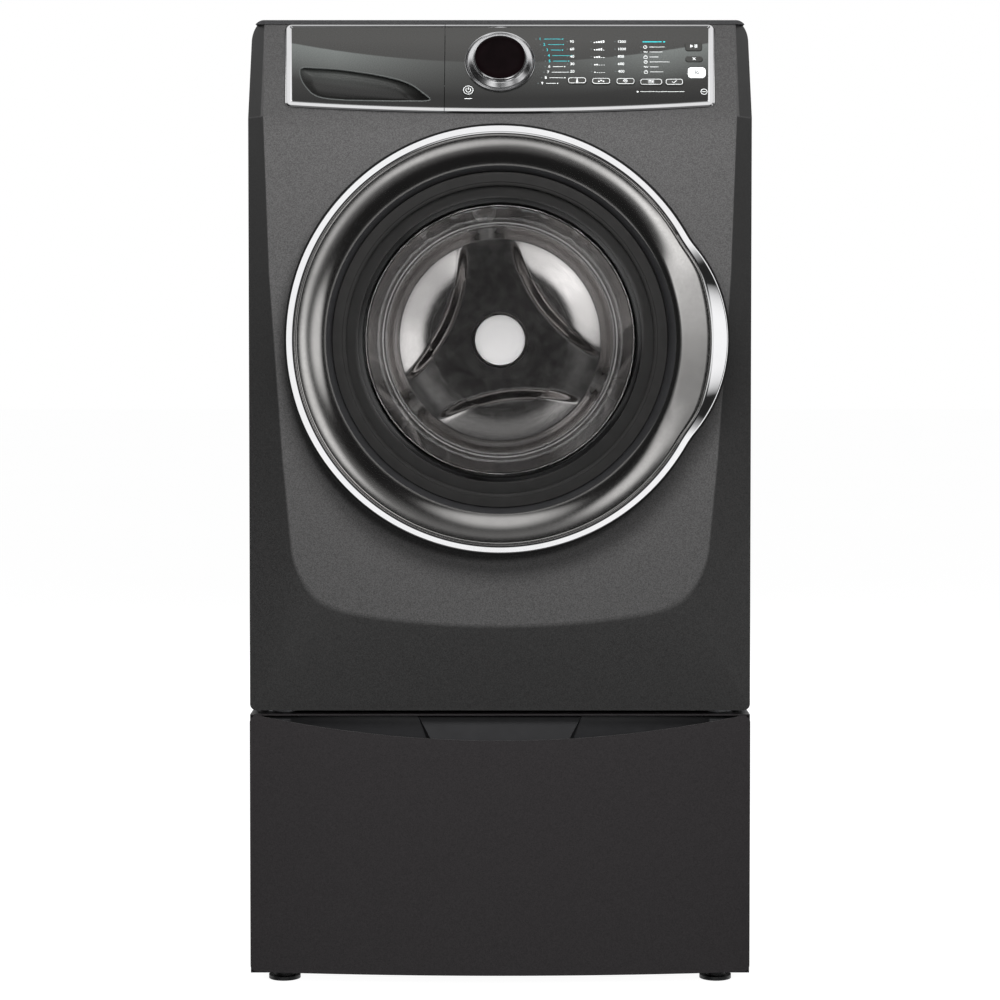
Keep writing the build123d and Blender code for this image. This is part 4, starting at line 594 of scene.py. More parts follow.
# ---- Console: shapes in (across, up), raised between a level's low and high -----------------------
CONSOLE_HALF = HALF - 49.0
CONSOLE_LOW = 13.0
CONSOLE_DIP = 10.5
CONSOLE_HIGH = KNOB_RISE + 61.3
CONSOLE_ROUND = 9.0
SPLIT = -75.3
SPLIT_GAP = 0.8
FASCIA = 3.0
KEY_FACE = FASCIA + 1.6
PRINT = 0.1
ON_KEY = (KEY_FACE - 0.05, KEY_FACE + PRINT)
ON_FASCIA = (FASCIA - 0.05, FASCIA + PRINT)
DIGIT = 4.3


def lifted(outline, out):
    """An outline on the console, at a height above its panel."""
    return [console(u, v, out) for u, v in outline]


def console_path(side, inset, deeper=0.0, steps=8):
    """One half of the console's outline, from the split along the foot and round to the split again."""
    reach = CONSOLE_HALF - inset - deeper
    low = CONSOLE_LOW + inset + deeper
    top = CONSOLE_HIGH - inset
    narrow = reach - 3.5
    cut = SPLIT + side * SPLIT_GAP / 2
    count = 22
    line = []
    for k in range(count):
        u = cut + (side * narrow - cut) * k / (count + 2)
        line.append((u, low - CONSOLE_DIP * (1 - (u / narrow) ** 2)))
    line += [(side * narrow, low), (side * (reach + 1), top), (cut, top)]
    bend = max(CONSOLE_ROUND - inset - deeper, 2.0)
    return rounded(line, [0] * count + [bend, bend, 0], steps)


def make_trim(name, side, body, base, stands_for):
    """A bevelled bright frame round one half of the console, wider at its foot and end."""
    section = [(0, base, 0), (0, 2.2, 0), (0.5, 3.4, 0), (1.9, 4.9, 0), (2.4, 5.0, 0)]
    section += [(3.3, 5.0, 2.2), (3.9, 4.8, 3.0), (5.4, 3.1, 3.6), (5.4, base, 0)]
    loops = [lifted(console_path(side, inset, wider), out) for inset, out, wider in section]
    corners, faces = skin(loops, closed=False, ring=True)
    size, count = len(loops[0]), len(loops)
    faces.append(tuple(i * size for i in range(count)))
    faces.append(tuple(i * size + size - 1 for i in reversed(range(count))))
    piece(name, (corners, faces), body, "chrome_trim", sharp=18, stands_for=stands_for)


def shrink(outline, inset):
    """A closed outline moved in by the inset, corner by corner."""
    if not inset:
        return outline
    area = sum(a[0] * b[1] - b[0] * a[1] for a, b in zip(outline, outline[1:] + outline[:1]))
    way = 1 if area > 0 else -1
    moved = []
    for i, point in enumerate(outline):
        ahead = Vector(outline[(i + 1) % len(outline)]) - Vector(outline[i - 1])
        if ahead.length < 1e-9:
            moved.append(point)
            continue
        ahead.normalize()
        moved.append((point[0] - way * inset * ahead.y, point[1] + way * inset * ahead.x))
    return moved


def console_prism(outline, level, ease_edge=0.0):
    """A solid on the console, its top edge rounded over."""
    low, high = level
    levels = [(0.0, low), (0.0, high - ease_edge)]
    if ease_edge:
        for k in range(1, 5):
            turn = k / 4 * pi / 2
            levels.append((ease_edge * (1 - cos(turn)), high - ease_edge * (1 - sin(turn))))
    return skin([lifted(shrink(outline, inset), out) for inset, out in levels], caps=True)


def pill(across, up, long, tall, bend, steps=6):
    """A rectangle with round corners."""
    a, b = long / 2, tall / 2
    line = [(across - a, up - b), (across + a, up - b), (across + a, up + b), (across - a, up + b)]
    return rounded(line, min(bend, a - 0.05, b - 0.05), steps, closed=True)


def ring_band(outline, width, level):
    """A thin raised line along a closed outline."""
    low, high = level
    inner = shrink(outline, width)
    section = ((outline, low), (outline, high), (inner, high), (inner, low))
    return skin([lifted(line, out) for line, out in section], ring=True)


def stroke(points, width, level=ON_FASCIA, closed=False):
    """A raised line of the given width along points."""
    low, high = level
    loops = []
    count = len(points)
    for i, point in enumerate(points):
        before = points[i - 1] if closed or i else point
        after = points[(i + 1) % count] if closed or i < count - 1 else point
        ahead = (Vector(after) - Vector(before)).normalized()
        side = Vector((-ahead.y, ahead.x)) * width / 2
        a, b = Vector(point) - side, Vector(point) + side
        loops.append([console(*a, low), console(*b, low), console(*b, high), console(*a, high)])
    return skin(loops, ring=closed, caps=not closed)


def arc(centre, radius, first, last, steps=24):
    """Points of an arc, angles in degrees."""
    turns = [radians(first + (last - first) * k / steps) for k in range(steps + 1)]
    return [(centre[0] + radius * cos(turn), centre[1] + radius * sin(turn)) for turn in turns]


def dot(across, up, radius, level=ON_FASCIA, steps=14):
    """A small round mark."""
    return console_prism(arc((across, up), radius, 0, 360 - 360 / steps, steps - 1), level)


def numeral(text, across, up, align="CENTER"):
    """A plain number as a raised mark."""
    low, high = ON_FASCIA
    curve = bpy.data.curves.new("numeral", "FONT")
    curve.body = text
    curve.size = DIGIT * 1.37
    curve.align_x = align
    curve.align_y = "CENTER"
    curve.resolution_u = 3
    curve.extrude = (high - low) / 2
    holder = bpy.data.objects.new("numeral", curve)
    bpy.context.scene.collection.objects.link(holder)
    shape = bpy.data.meshes.new_from_object(holder)
    bpy.data.objects.remove(holder)
    work = bmesh.new()
    work.from_mesh(shape)
    bmesh.ops.remove_doubles(work, verts=work.verts, dist=1e-4)
    work.verts.index_update()
    corners = [console(across + v.co.x, up + v.co.y, (low + high) / 2 + v.co.z) for v in work.verts]
    faces = [tuple(v.index for v in face.verts) for face in work.faces]
    work.free()
    bpy.data.meshes.remove(shape)
    return corners, faces


# ---- Selector knob and display -------------------------------------------------------------------
KNOB_RADIUS = 48.0
KNOB_BORE = 31.1
KNOB_TOP = 12.4
WINDOW_RADIUS = 36.4
WINDOW_LOW = 12.7


def about_knob(profile, segments=128, closed=True):
    """A surface turned about the knob's axis from (radius, out) points."""
    last = 360 - 360 / segments
    loops = [lifted(arc((0, KNOB_RISE), radius, 0, last, segments - 1), out) for radius, out in profile]
    return skin(loops, ring=closed, caps=not closed)


def make_knob():
    """The turning ring: bright base, satin cone and bright crown."""
    bore, rim, top = KNOB_BORE, KNOB_RADIUS, KNOB_TOP
    low = FASCIA + 0.3
    base = [(bore, low), (rim - 0.4, low), (rim, low + 0.5), (rim, low + 1.6), (rim - 0.8, low + 2.6)]
    base += [(rim - 2.4, low + 3.1), (rim - 3.2, low + 2.7), (rim - 3.6, low + 2.9), (bore, low + 2.9)]
    cone = [(bore, low + 3.0), (rim - 3.8, low + 3.0), (rim - 4.6, low + 4.2), (rim - 9.6, top - 1.6)]
    cone += [(rim - 10.6, top - 0.8), (bore, top - 0.8)]
    cone = rounded(cone, [0, 0.3, 1.5, 0.8, 0.4, 0], 4)
    crown = [(bore, top - 0.9), (rim - 10.8, top - 0.9), (rim - 11.0, top - 0.3), (rim - 11.5, top)]
    crown += [(rim - 12.2, top), (rim - 12.8, top - 0.4), (bore, top - 0.45)]
    metal = finish("knob_metal", (0.7, 0.7, 0.71), 0.2, 1.0, 0.03, 30.0, 300.0, 0.0)
    surface = about_knob(base)
    piece("knob_base", surface, "selector", "chrome_trim", metal, sharp=30, stands_for=["knob_ring"])
    piece("knob_cone", about_knob(cone), "selector", "satin_chrome", metal, sharp=30)
    piece("knob_crown", about_knob(crown), "selector", "chrome_trim", sharp=30)


def make_window():
    """The dark display: a thin bright bezel round a slightly domed smoked disc."""
    rim, low = WINDOW_RADIUS, WINDOW_LOW
    bezel = [(rim - 2.6, low + 2.0), (rim - 0.4, low), (rim, low + 0.3), (rim, low + 1.4)]
    bezel += [(rim - 0.6, low + 2.5), (rim - 1.4, low + 2.9), (rim - 2.2, low + 2.7)]
    surface = about_knob(bezel)
    piece("display_bezel", surface, "cabinet", "chrome_trim", sharp=30, stands_for=["display_window"])
    dome = [(rim - 1.7, low + 0.02), (rim - 1.7, low + 1.9), (rim - 2.4, low + 2.3)]
    dome += [(24.0, low + 3.0), (12.0, low + 3.35), (0.01, low + 3.4)]
    piece("display_disc", about_knob(dome, closed=False), "cabinet", "display_glass", sharp=40)


make_trim("console_trim_right", 1, "cabinet", 0.1, ["console_trim"])
make_knob()
make_window()


# ---- Push buttons and print ----------------------------------------------------------------------
RIGHT = CONSOLE_HALF
# name, across, up, long, tall, rounding
BUTTONS = (
    ("power", -43.0, KNOB_RISE - 45.6, 15.6, 15.6, 7.7),
    ("temperature", RIGHT - 189.4, 54.1, 25.6, 10.7, 4.2),
    ("soil", RIGHT - 156.7, 53.2, 25.6, 10.7, 4.2),
    ("spin", RIGHT - 123.6, 52.9, 25.6, 10.7, 4.2),
    ("options", RIGHT - 88.8, 51.8, 30.9, 10.7, 4.2),
    ("select", RIGHT - 57.4, 51.8, 24.9, 10.7, 4.2),
    ("start", RIGHT - 29.5, 109.0, 23.0, 14.0, 4.0),
    ("cancel", RIGHT - 29.5, 88.6, 23.0, 8.5, 3.5),
    ("eco", RIGHT - 26.5, 67.0, 24.4, 16.4, 5.0),
)
NO_OUTLINE = ("start", "cancel", "eco")
THIN = 0.62
SPIRAL = [((0.5 + 0.115 * k) * cos(0.42 * k), (0.5 + 0.115 * k) * sin(0.42 * k)) for k in range(24)]
# each sign's lines with their widths, then its dots (across, up, radius), about the key's middle
SIGN_LINES = {
    "power": ((arc((0, 0), 3.3, 130, 410, 20), THIN), ([(0, 0.6), (0, 4.4)], THIN)),
    "temperature": (([(0, 3.2), (0, -0.8)], 1.1),),
    "spin": ((SPIRAL, THIN),),
    "options": [([(-4, 1.9 * k), (4, 1.9 * k)], 0.5) for k in (-1, 0, 1)],
    "select": (([(-3, 0.4), (-0.9, -1.9), (3.2, 2.2)], 0.8),),
    "start": (([(2.0, -2.5), (2.0, 2.5)], 1.1), ([(4.3, -2.5), (4.3, 2.5)], 1.1)),
    "cancel": (([(-1.9, -1.9), (1.9, 1.9)], 0.8), ([(-1.9, 1.9), (1.9, -1.9)], 0.8)),
    "eco": (([(-3.6, -3.6), (1.0, 1.0)], 1.0),),
}
SIGN_DOTS = {
    "temperature": ((0, -1.8, 1.5),),
    "soil": [(3.1 * k, 0.8 * (-1) ** k, 1.05) for k in (-1, 0, 1)],
    "options": ((-1.6, 1.9, 0.9), (2, 0, 0.9)),
}
teal = finish("teal_print", (0.03, 0.42, 0.46), 0.5, 0.0, 0.08)
ink = finish("white_print", (0.74, 0.76, 0.76), 0.5, 0.0, 0.05)
dark_ink = finish("dark_print", (0.06, 0.07, 0.07), 0.5, 0.0, 0.1)


def sign(kind, u, v):
    """A small generic sign in line work on a key."""
    parts = [dot(u + a, v + b, radius, ON_KEY) for a, b, radius in SIGN_DOTS.get(kind, ())]
    for line, width in SIGN_LINES.get(kind, ()):
        parts.append(stroke([(u + a, v + b) for a, b in line], width, ON_KEY))
    if kind == "start":
        parts.append(console_prism([(u - 4.6, v - 2.6), (u - 0.4, v), (u - 4.6, v + 2.6)], ON_KEY))
    if kind == "eco":
        leaf = arc((u - 2.2, v - 2.2), 4.6, 90, 0, 10) + arc((u + 2.2, v + 2.2), 4.6, -90, -180, 10)
        parts.append(stroke(leaf[:-1], 1.2, ON_KEY, closed=True))
    return join(*parts)


def make_buttons():
    """Each push button: a cap with an eased edge, the flange that keeps it in, and its printed sign."""
    for name, u, v, long, tall, bend in BUTTONS:
        outline = pill(u, v, long, tall, bend)
        flange = pill(u, v, long + 3.1, tall + 3.1, bend + 1.5)
        cap_slot, sign_slot, colour = "button_plastic", "button_white", ink
        if name == "eco":
            cap_slot, sign_slot, colour = sign_slot, cap_slot, dark_ink
        body = name + "_key"
        cap = console_prism(outline, (-6.8, KEY_FACE), 0.7)
        piece(name + "_cap", cap, body, cap_slot, stands_for=[name + "_button"])
        piece(name + "_keeper", console_prism(flange, (-1.5, -0.3)), body, "button_plastic")
        printed = sign(name, u, v)
        if name not in NO_OUTLINE:
            printed = join(printed, ring_band(shrink(outline, 1.0), 0.55, ON_KEY))
        piece(name + "_sign", printed, body, sign_slot, colour)


LIGHT, COLOURED, LAMPS = [], [], []  # the print's surfaces, by finish
LAMP_DOT = 0.95
LINE = 0.55


def mark_programmes():
    """Nine programme numbers round the knob's right side, each with a lamp and a line."""
    for k in range(9):
        v = 121.5 - k * 8.9
        u = sqrt(61.0**2 - min(abs(v - KNOB_RISE), 50) ** 2) + 1.0
        end = u + 10.5 + 24 - 5 * (k % 3)
        marks = COLOURED if k < 5 else LIGHT
        marks.append(numeral(str(k + 1), u + 5.6, v))
        marks.append(stroke([(u + 10.5, v), (end, v)], LINE))
        marks.append(dot(end + 2, v, 0.8))
        LAMPS.append(dot(u, v, LAMP_DOT))


def mark_columns():
    """Temperatures, soil levels and spin speeds, each with its lamp."""
    columns = (
        (RIGHT - 198.5, ("95", "60", "40", "30", "20")),
        (RIGHT - 166.0, (5, 4, 3, 2, 1)),
        (RIGHT - 133.5, ("1200", "1000", "800", "600", "400")),
    )
    for u, entries in columns:
        for k, entry in enumerate(entries):
            v = 117.2 - k * 12.0
            LAMPS.append(dot(u - 3.4, v, LAMP_DOT))
            if isinstance(entry, str):
                LIGHT.append(numeral(entry, u, v, "LEFT"))
                continue
            for bar in range(5):
                place = u + 1.2 + bar * 3.1
                tall = 1.4 + 0.6 * bar if bar < entry else 0.5
                LIGHT.append(stroke([(place, v - 1.9), (place, v - 1.9 + tall)], 1.9))


def mark_options():
    """One coloured bar, then six small signs with lamps and lines."""
    u = RIGHT - 99.0
    COLOURED.append(stroke([(u, 117.0), (u + 26, 117.0)], 1.5))
    COLOURED.append(dot(u + 29.5, 117.0, 1.3))
    for k in range(6):
        v = 108.6 - k * 8.0
        LAMPS.append(dot(u - 2.4, v, LAMP_DOT))
        if k % 3 == 0:
            LIGHT.append(stroke(arc((u + 3.5, v), 2.3, 0, 345, 16), LINE, closed=True))
            LIGHT.append(stroke([(u + 3.5, v + 1.5), (u + 3.5, v), (u + 4.9, v)], 0.5))
        elif k % 3 == 1:
            LIGHT.append(stroke([(u + 1 + 0.5 * i, v + 1.1 * sin(i * 1.25)) for i in range(12)], LINE))
        else:
            LIGHT.append(stroke(pill(u + 3.5, v - 0.6, 4.6, 3.4, 0.6, 3), 0.5, closed=True))
            LIGHT.append(stroke(arc((u + 3.5, v + 1.0), 1.5, 180, 0, 8), 0.5))
        LIGHT.append(stroke([(u + 9, v), (u + 21 + 6 * (k % 2) + 9 * (k in (0, 3)), v)], LINE))


def make_marks():
    """Lamps, plain numbers and level bars printed beside the knob and over the buttons."""
    mark_programmes()
    mark_columns()
    mark_options()
    # a ruled line and a ringed tick under the option buttons, and a tick under the power button
    LIGHT.append(stroke([(RIGHT - 104, 37.0), (RIGHT - 44, 37.0)], 0.5))
    LIGHT.append(dot(RIGHT - 107.5, 37.0, 1.2))
    LIGHT.append(stroke(arc((RIGHT - 17.5, 37.0), 4.2, 0, 345, 20), 0.7, closed=True))
    LIGHT.append(stroke([(RIGHT - 19.8, 37.0), (RIGHT - 15.2, 37.0)], 0.7))
    LIGHT.append(stroke([(-48.0, 26.0), (-38.0, 26.0)], 0.8))
    piece("console_print", join(*LIGHT), "cabinet", "button_white", ink)
    piece("console_print_teal", join(*COLOURED), "cabinet", "button_white", teal)
    piece("console_lamps", join(*LAMPS), "cabinet", "button_plastic", dark_ink)


make_buttons()
make_marks()


# ---- Detergent drawer front ----------------------------------------------------------------------
SCOOP_DEEP = 17.0
SCOOP_ENDS = (-246.0, -140.0)  # the line across that the scoop's bowl closes in on
SCOOP_MIDDLE = 58.0  # height of that line at its outer end
SMILE_LINE = 1266.0  # height of the smile-shaped edge of the painted reflection at the machine's middle
LEAF = (
    (-270.0, 75.5), (-248.0, 75.5), (-213.0, 72.3), (-170.0, 65.0), (-139.0, 57.0), (-121.0, 49.0),
    (-106.0, 37.0), (-95.0, 23.5), (-128.0, 22.0), (-175.0, 22.5), (-218.0, 24.0), (-248.0, 29.5),
    (-264.0, 45.0), (-272.0, 63.0),
)


def smooth_loop(points, steps):
    """A closed curve through the points."""
    line = []
    for i in range(len(points)):
        a, b, c, d = (Vector(points[(i + k) % len(points)]) for k in (-1, 0, 1, 2))
        for k in range(steps):
            t = k / steps
            point = 2 * b + (c - a) * t + (2 * a - 5 * b + 4 * c - d) * t**2 + (3 * b - a - 3 * c + d) * t**3
            line.append((point.x / 2, point.y / 2))
    return line


def make_dispenser_front():
    """The drawer front with its leaf-shaped finger scoop, undercut along the top, its lip and trim."""
    leaf = smooth_loop(LEAF, 10)
    outline = console_path(-1, 5.45)
    base, size = len(outline), len(leaf)
    corners = lifted(outline + leaf, FASCIA) + lifted(outline, 0.6)
    flat = [[Vector((u, v, 0)) for u, v in line] for line in (outline, leaf)]
    faces = [tuple(face) for face in tessellate_polygon(flat)]
    front, back = range(base), range(base + size, len(corners))
    faces += [(front[k - 1], back[k - 1], back[k], front[k]) for k in range(base)]
    # the scoop: an eased lip, then a bowl that leans up under the top edge
    ring = range(base, base + size)
    levels = 12
    for level in range(1, levels + 1):
        share = level / levels
        pull = 0.012 if level == 1 else 0.02 + 0.9 * share**1.7
        out = FASCIA - SCOOP_DEEP * (1 - (1 - share) ** 2)
        now = range(len(corners), len(corners) + size)
        for u, v in leaf:
            spine = min(max(u, SCOOP_ENDS[0]), SCOOP_ENDS[1])
            middle = SCOOP_MIDDLE - 0.16 * (spine - SCOOP_ENDS[0])
            over = 6.0 * sin(share * pi) * max(0.0, (v - middle) / 20)
            corners.append(console(u + (spine - u) * pull, v + (middle - v) * pull + over, out))
        faces += [(ring[k - 1], ring[k], now[k], now[k - 1]) for k in range(size)]
        ring = now
    corners.append(console(-195.0, 50.0, FASCIA - SCOOP_DEEP))
    faces += [(ring[k - 1], ring[k], len(corners) - 1) for k in range(size)]
    piece(
        "dispenser_face", (corners, faces), "detergent_drawer", "fascia_plastic", smile, sharp=28,
        stands_for=["dispenser_front"],
    )
    section = ((0.0, 0.02), (0.35, 0.35), (1.0, 0.45), (1.6, 0.2), (1.9, -0.9))
    lip = [lifted(shrink(leaf, width - 0.6), FASCIA + out) for width, out in section]
    # painted highlight: the lip is a lighter grey than the fascia, for the light caught along the scoop's edge
    lip_painted_highlight = finish("scoop_lip_painted_highlight", (0.075, 0.08, 0.078), 0.3, 0.3, 0.05)
    piece("dispenser_lip", skin(lip, ring=True), "detergent_drawer", "fascia_plastic", lip_painted_highlight, sharp=50)
    make_trim("console_trim_left", -1, "detergent_drawer", 0.6, [])


def smile_reflection_material():
    """The console's dark face, with a painted reflection: a lighter, greener field below a wide smile-shaped line;
    its own colour runs darker towards its foot.
    """
    material, tree, surface = shader(
        "console_face_painted_reflection", (0.055, 0.054, 0.05), 0.26, 0.25, Coat_Weight=0.18, Coat_Roughness=0.12
    )
    x, _, z = axes(tree)
    square = calc(tree, "MULTIPLY", x, x)
    curve = calc(tree, "MULTIPLY_ADD", square, -0.342, z)
    line = SMILE_LINE * MM
    below = span_map(tree, curve, 1.0, 0.0, line - 0.7 * MM, line + 0.7 * MM)
    depth = span_map(tree, curve, 0.0, 1.0, line - 50 * MM, line)
    wide = span_map(tree, square, 0.12, 1.0, 0.0, 0.05)
    # painted reflection: the lighter field, strongest towards the ends and fading down from the line
    light = calc(tree, "MULTIPLY", calc(tree, "MULTIPLY", depth, wide), below)
    low, high = span("console_fascia")
    height = span_map(tree, z, 0.0, 1.0, low.z * MM, high.z * MM)
    base = tint(tree, height, (0.008, 0.0079, 0.0076), (0.038, 0.0375, 0.036), 0.15, 0.85)
    mixed = node(tree, "MixRGB", light, base, (0.1, 0.108, 0.104, 1))
    put(tree, surface.inputs["Base Color"], mixed.outputs[0])
    tight = grain(tree, 1300.0)
    put(tree, surface.inputs["Roughness"], span_map(tree, tight, 0.24, 0.3))
    bumpy(tree, surface, tight, 0.005)
    return material


# the fascia and the drawer front share the painted reflection
smile = smile_reflection_material()
dress("console_fascia", smile)
make_dispenser_front()


# ---- Drum, boot and what shows through the glass -------------------------------------------------
DRUM_LOW, DRUM_HIGH = span("drum_shell")
DRUM_RADIUS = DRUM_HIGH.x
DRUM_FRONT = DRUM_LOW.y
DRUM_BACK = span("hub_cap")[1].y - 2.6
DRUM_MOUTH = 198.0
BEADS = (0.28, 0.62, 0.93)  # places of the side wall's beads, as shares of its length
HUB_RADIUS = span("hub_cap")[1].x
DISH_ANGLES = (37.0, 157.0, 277.0)
DISH_NEAR = 78.0
DISH_FAR = 174.0
DISH_DEEP = 9.0
LIFTER_ANGLES = (97.0, 217.0, 337.0)
LIFTER_TALL = 74.0
SHEET = 1.2
HOLE_PITCH = 14.0
HOLES_ROUND = 112
BOOT_MOUTH = 205.0
BOOT_CLAMP = 200.6
BOOT_WALL = 2.6
NOZZLE_ANGLES = (77.0, 90.0, 103.0)


def dish_depth(x, z):
    """How far the pressed rear wall sinks between the three arms of its star."""
    deepest = 0.0
    for angle in DISH_ANGLES:
        turn = radians(angle)
        along = x * cos(turn) + z * sin(turn)
        aside = -x * sin(turn) + z * cos(turn)
        if along <= 0:
            continue
        inner = ease(along - 0.0021 * aside**2, DISH_NEAR, DISH_NEAR + 16)
        outer = 1 - ease(hypot(x, z), DISH_FAR - 66, DISH_FAR)
        deepest = max(deepest, inner * outer)
    return DISH_DEEP * deepest


def make_drum():
    """The drum: rolled mouth, beaded side wall and a rear wall pressed into a three-armed star."""
    mouth, wide, front, back = DRUM_MOUTH, DRUM_RADIUS, DRUM_FRONT, DRUM_BACK
    well = HUB_RADIUS + 4
    steps = 46
    bead_places = [front + (back - front) * share for share in BEADS]
    line = [(mouth, front + 4), (mouth - 1, front + 1.5), (mouth + 2, front)]
    line += [(wide - 10, front), (wide - 3, front + 3), (wide, front + 10)]
    for y in bead_places:
        line += [(wide, y - 5), (wide - 1.6, y - 1.5), (wide - 1.6, y + 1.5), (wide, y + 5)]
    line += [(wide, back - 6), (wide - 2, back - 1.5)]
    line += [(wide - 6 - (wide - 6 - well) * k / steps, back) for k in range(steps + 1)]
    line += [(well - 1, back + 4), (16, back + 4), (16, back + 2.8), (well - 2.2, back + 2.8)]
    line += [(well + (wide - 8 - well) * k / steps, back - SHEET) for k in range(steps + 1)]
    inside = wide - SHEET
    line += [(wide - 3.4, back - 2.6), (inside, back - 7)]
    for y in reversed(bead_places):
        line += [(inside, y + 5), (inside - 1.6, y + 1.5), (inside - 1.6, y - 1.5), (inside, y - 5)]
    line += [(inside, front + 11), (wide - 4, front + 4.2), (wide - 10.5, front + SHEET)]
    line += [(mouth + 2.5, front + SHEET), (mouth + SHEET, front + 2.5)]
    turns = circle(216)
    loops = []
    for radius, y in line:
        loop = [(radius * c, y, radius * s) for c, s in turns]
        if y in (back, back - SHEET):
            loop = [(x, y + dish_depth(x, z), z) for x, y, z in loop]
        loops.append([(x, y, DOOR_Z + z) for x, y, z in loop])
    surface = skin(loops, ring=True)
    piece("drum_body", surface, "drum", "stainless", perforated_steel(), sharp=40, stands_for=["drum_shell"])


def distance(tree, a, b):
    """The length of a step with two given sides."""
    return calc(tree, "SQRT", calc(tree, "MULTIPLY_ADD", a, a, calc(tree, "MULTIPLY", b, b)))


def perforated_steel():
    """Stainless sheet with rows of small holes in its side wall, set out round the axis; the holes are not cut but
    painted near black, as painted shade for the dark seen through them.
    """
    bright = (0.8, 0.775, 0.765)
    material, tree, surface = shader("perforated_stainless_painted_shade", bright, 0.16, 1.0)
    x, y, z = axes(tree)
    rise = calc(tree, "SUBTRACT", z, DOOR_Z * MM)
    row = calc(tree, "DIVIDE", y, HOLE_PITCH * MM)
    odd = calc(tree, "MULTIPLY", calc(tree, "FLOORED_MODULO", calc(tree, "FLOOR", row), 2.0), 0.5)
    column = calc(tree, "MULTIPLY_ADD", calc(tree, "ARCTAN2", rise, x), HOLES_ROUND / TURN, odd)
    a, b = (calc(tree, "SUBTRACT", calc(tree, "FRACT", place), 0.5) for place in (column, row))
    hole = span_map(tree, distance(tree, a, b), 1.0, 0.0, 0.14, 0.18)
    wall = span_map(tree, distance(tree, rise, x), 0.0, 1.0, (DRUM_RADIUS - 6) * MM, (DRUM_RADIUS - 5) * MM)
    # painted shade: each hole is near black and not metal, for the dark seen through it
    dark = calc(tree, "MULTIPLY", hole, wall)
    metal = calc(tree, "SUBTRACT", 1.0, dark)
    put(tree, surface.inputs["Base Color"], tint(tree, dark, bright, (0.01, 0.01, 0.01), 0.0, 1.0))
    put(tree, surface.inputs["Metallic"], metal)
    put(tree, surface.inputs["Roughness"], span_map(tree, grain(tree, 60.0, (1, 14, 1)), 0.12, 0.2))
    bumpy(tree, surface, metal, 0.4, 0.5)
    return material


def on_wall(angle, out, across, y):
    """A point inside the drum: out from its axis at an angle in degrees, across that, and along y."""
    c, s = cos(radians(angle)), sin(radians(angle))
    return c * out - s * across, y, DOOR_Z + s * out + c * across


def stud(angle, out, y, section, count, wide=1.0, deep=1.0):
    """A small boss about a point inside the drum, from (radius, rise) rings."""
    loops = []
    for radius, rise in section:
        a, b = radius * wide, radius * deep
        loops.append([on_wall(angle, out + rise, a * c, y + b * s) for c, s in circle(count)])
    return skin(loops, caps=True)


def make_lifters():
    """Three rounded ridges along the drum's wall, each with a row of drain holes on its crest."""
    low, high = span("drum_lifters")
    seat = DRUM_RADIUS - SHEET - 0.6
    long = high.y - low.y - 1.0
    middle = (high.y + low.y) / 2
    levels = 12
    ring = ((2.8, 0.0), (3.4, -0.5), (4.2, -0.4), (4.6, 0.3))
    lifter_steel = finish("lifter_steel", (0.42, 0.41, 0.4), 0.32, 1.0, 0.08, 26.0, 900.0, 0.02)
    for number, angle in enumerate(LIFTER_ANGLES, 1):
        loops = []
        for level in range(levels + 1):
            share = level / levels
            half = 15.0 + 26.0 * (1 - share) ** 1.15
            reach = long / 2 - 26.0 * share**1.5
            if level == levels:
                half, reach = 10.0, reach - 6.0
            loop = []
            for along, across in pill(0, 0, 2 * reach, 2 * half, min(half - 0.5, 19.0), 8):
                out = seat - (LIFTER_TALL - 0.5) * share if level else sqrt(seat**2 - across**2)
                loop.append(on_wall(angle, out, across, middle + along))
            loops.append(loop)
        names = ["drum_lifters"] if number == 1 else []
        ridge = skin(loops, caps=True)
        piece(f"lifter_{number}", ridge, "drum", "stainless", lifter_steel, sharp=50, stands_for=names)
        crest = seat - LIFTER_TALL + 0.4
        holes = [stud(angle, crest, middle + k * long / 11, ring, 16) for k in range(-4, 5)]
        piece(f"lifter_holes_{number}", join(*holes), "drum", "stainless", steel)


def make_hub_cap():
    """The white cap over the shaft, slightly domed, in a shallow dark well."""
    r = HUB_RADIUS
    front = DRUM_BACK - 11
    profile = [(0.01, front), (r - 20, front + 0.6), (r - 8, front + 2.6), (r - 2.5, front + 5.4)]
    profile += [(r - 0.3, DRUM_BACK - 3), (r - 0.3, DRUM_BACK + 2.6), (0.01, DRUM_BACK + 2.6)]
    profile = rounded(profile, [0, 12, 14, 3, 2, 0.4, 0], 5)
    hub_white = finish("hub_white", (0.95, 0.93, 0.93), 0.45, 0.0, 0.02)
    piece(
        "hub_button", turned(profile, 96, closed=False), "drum", "white_plastic", hub_white, sharp=50,
        stands_for=["hub_cap"],
    )


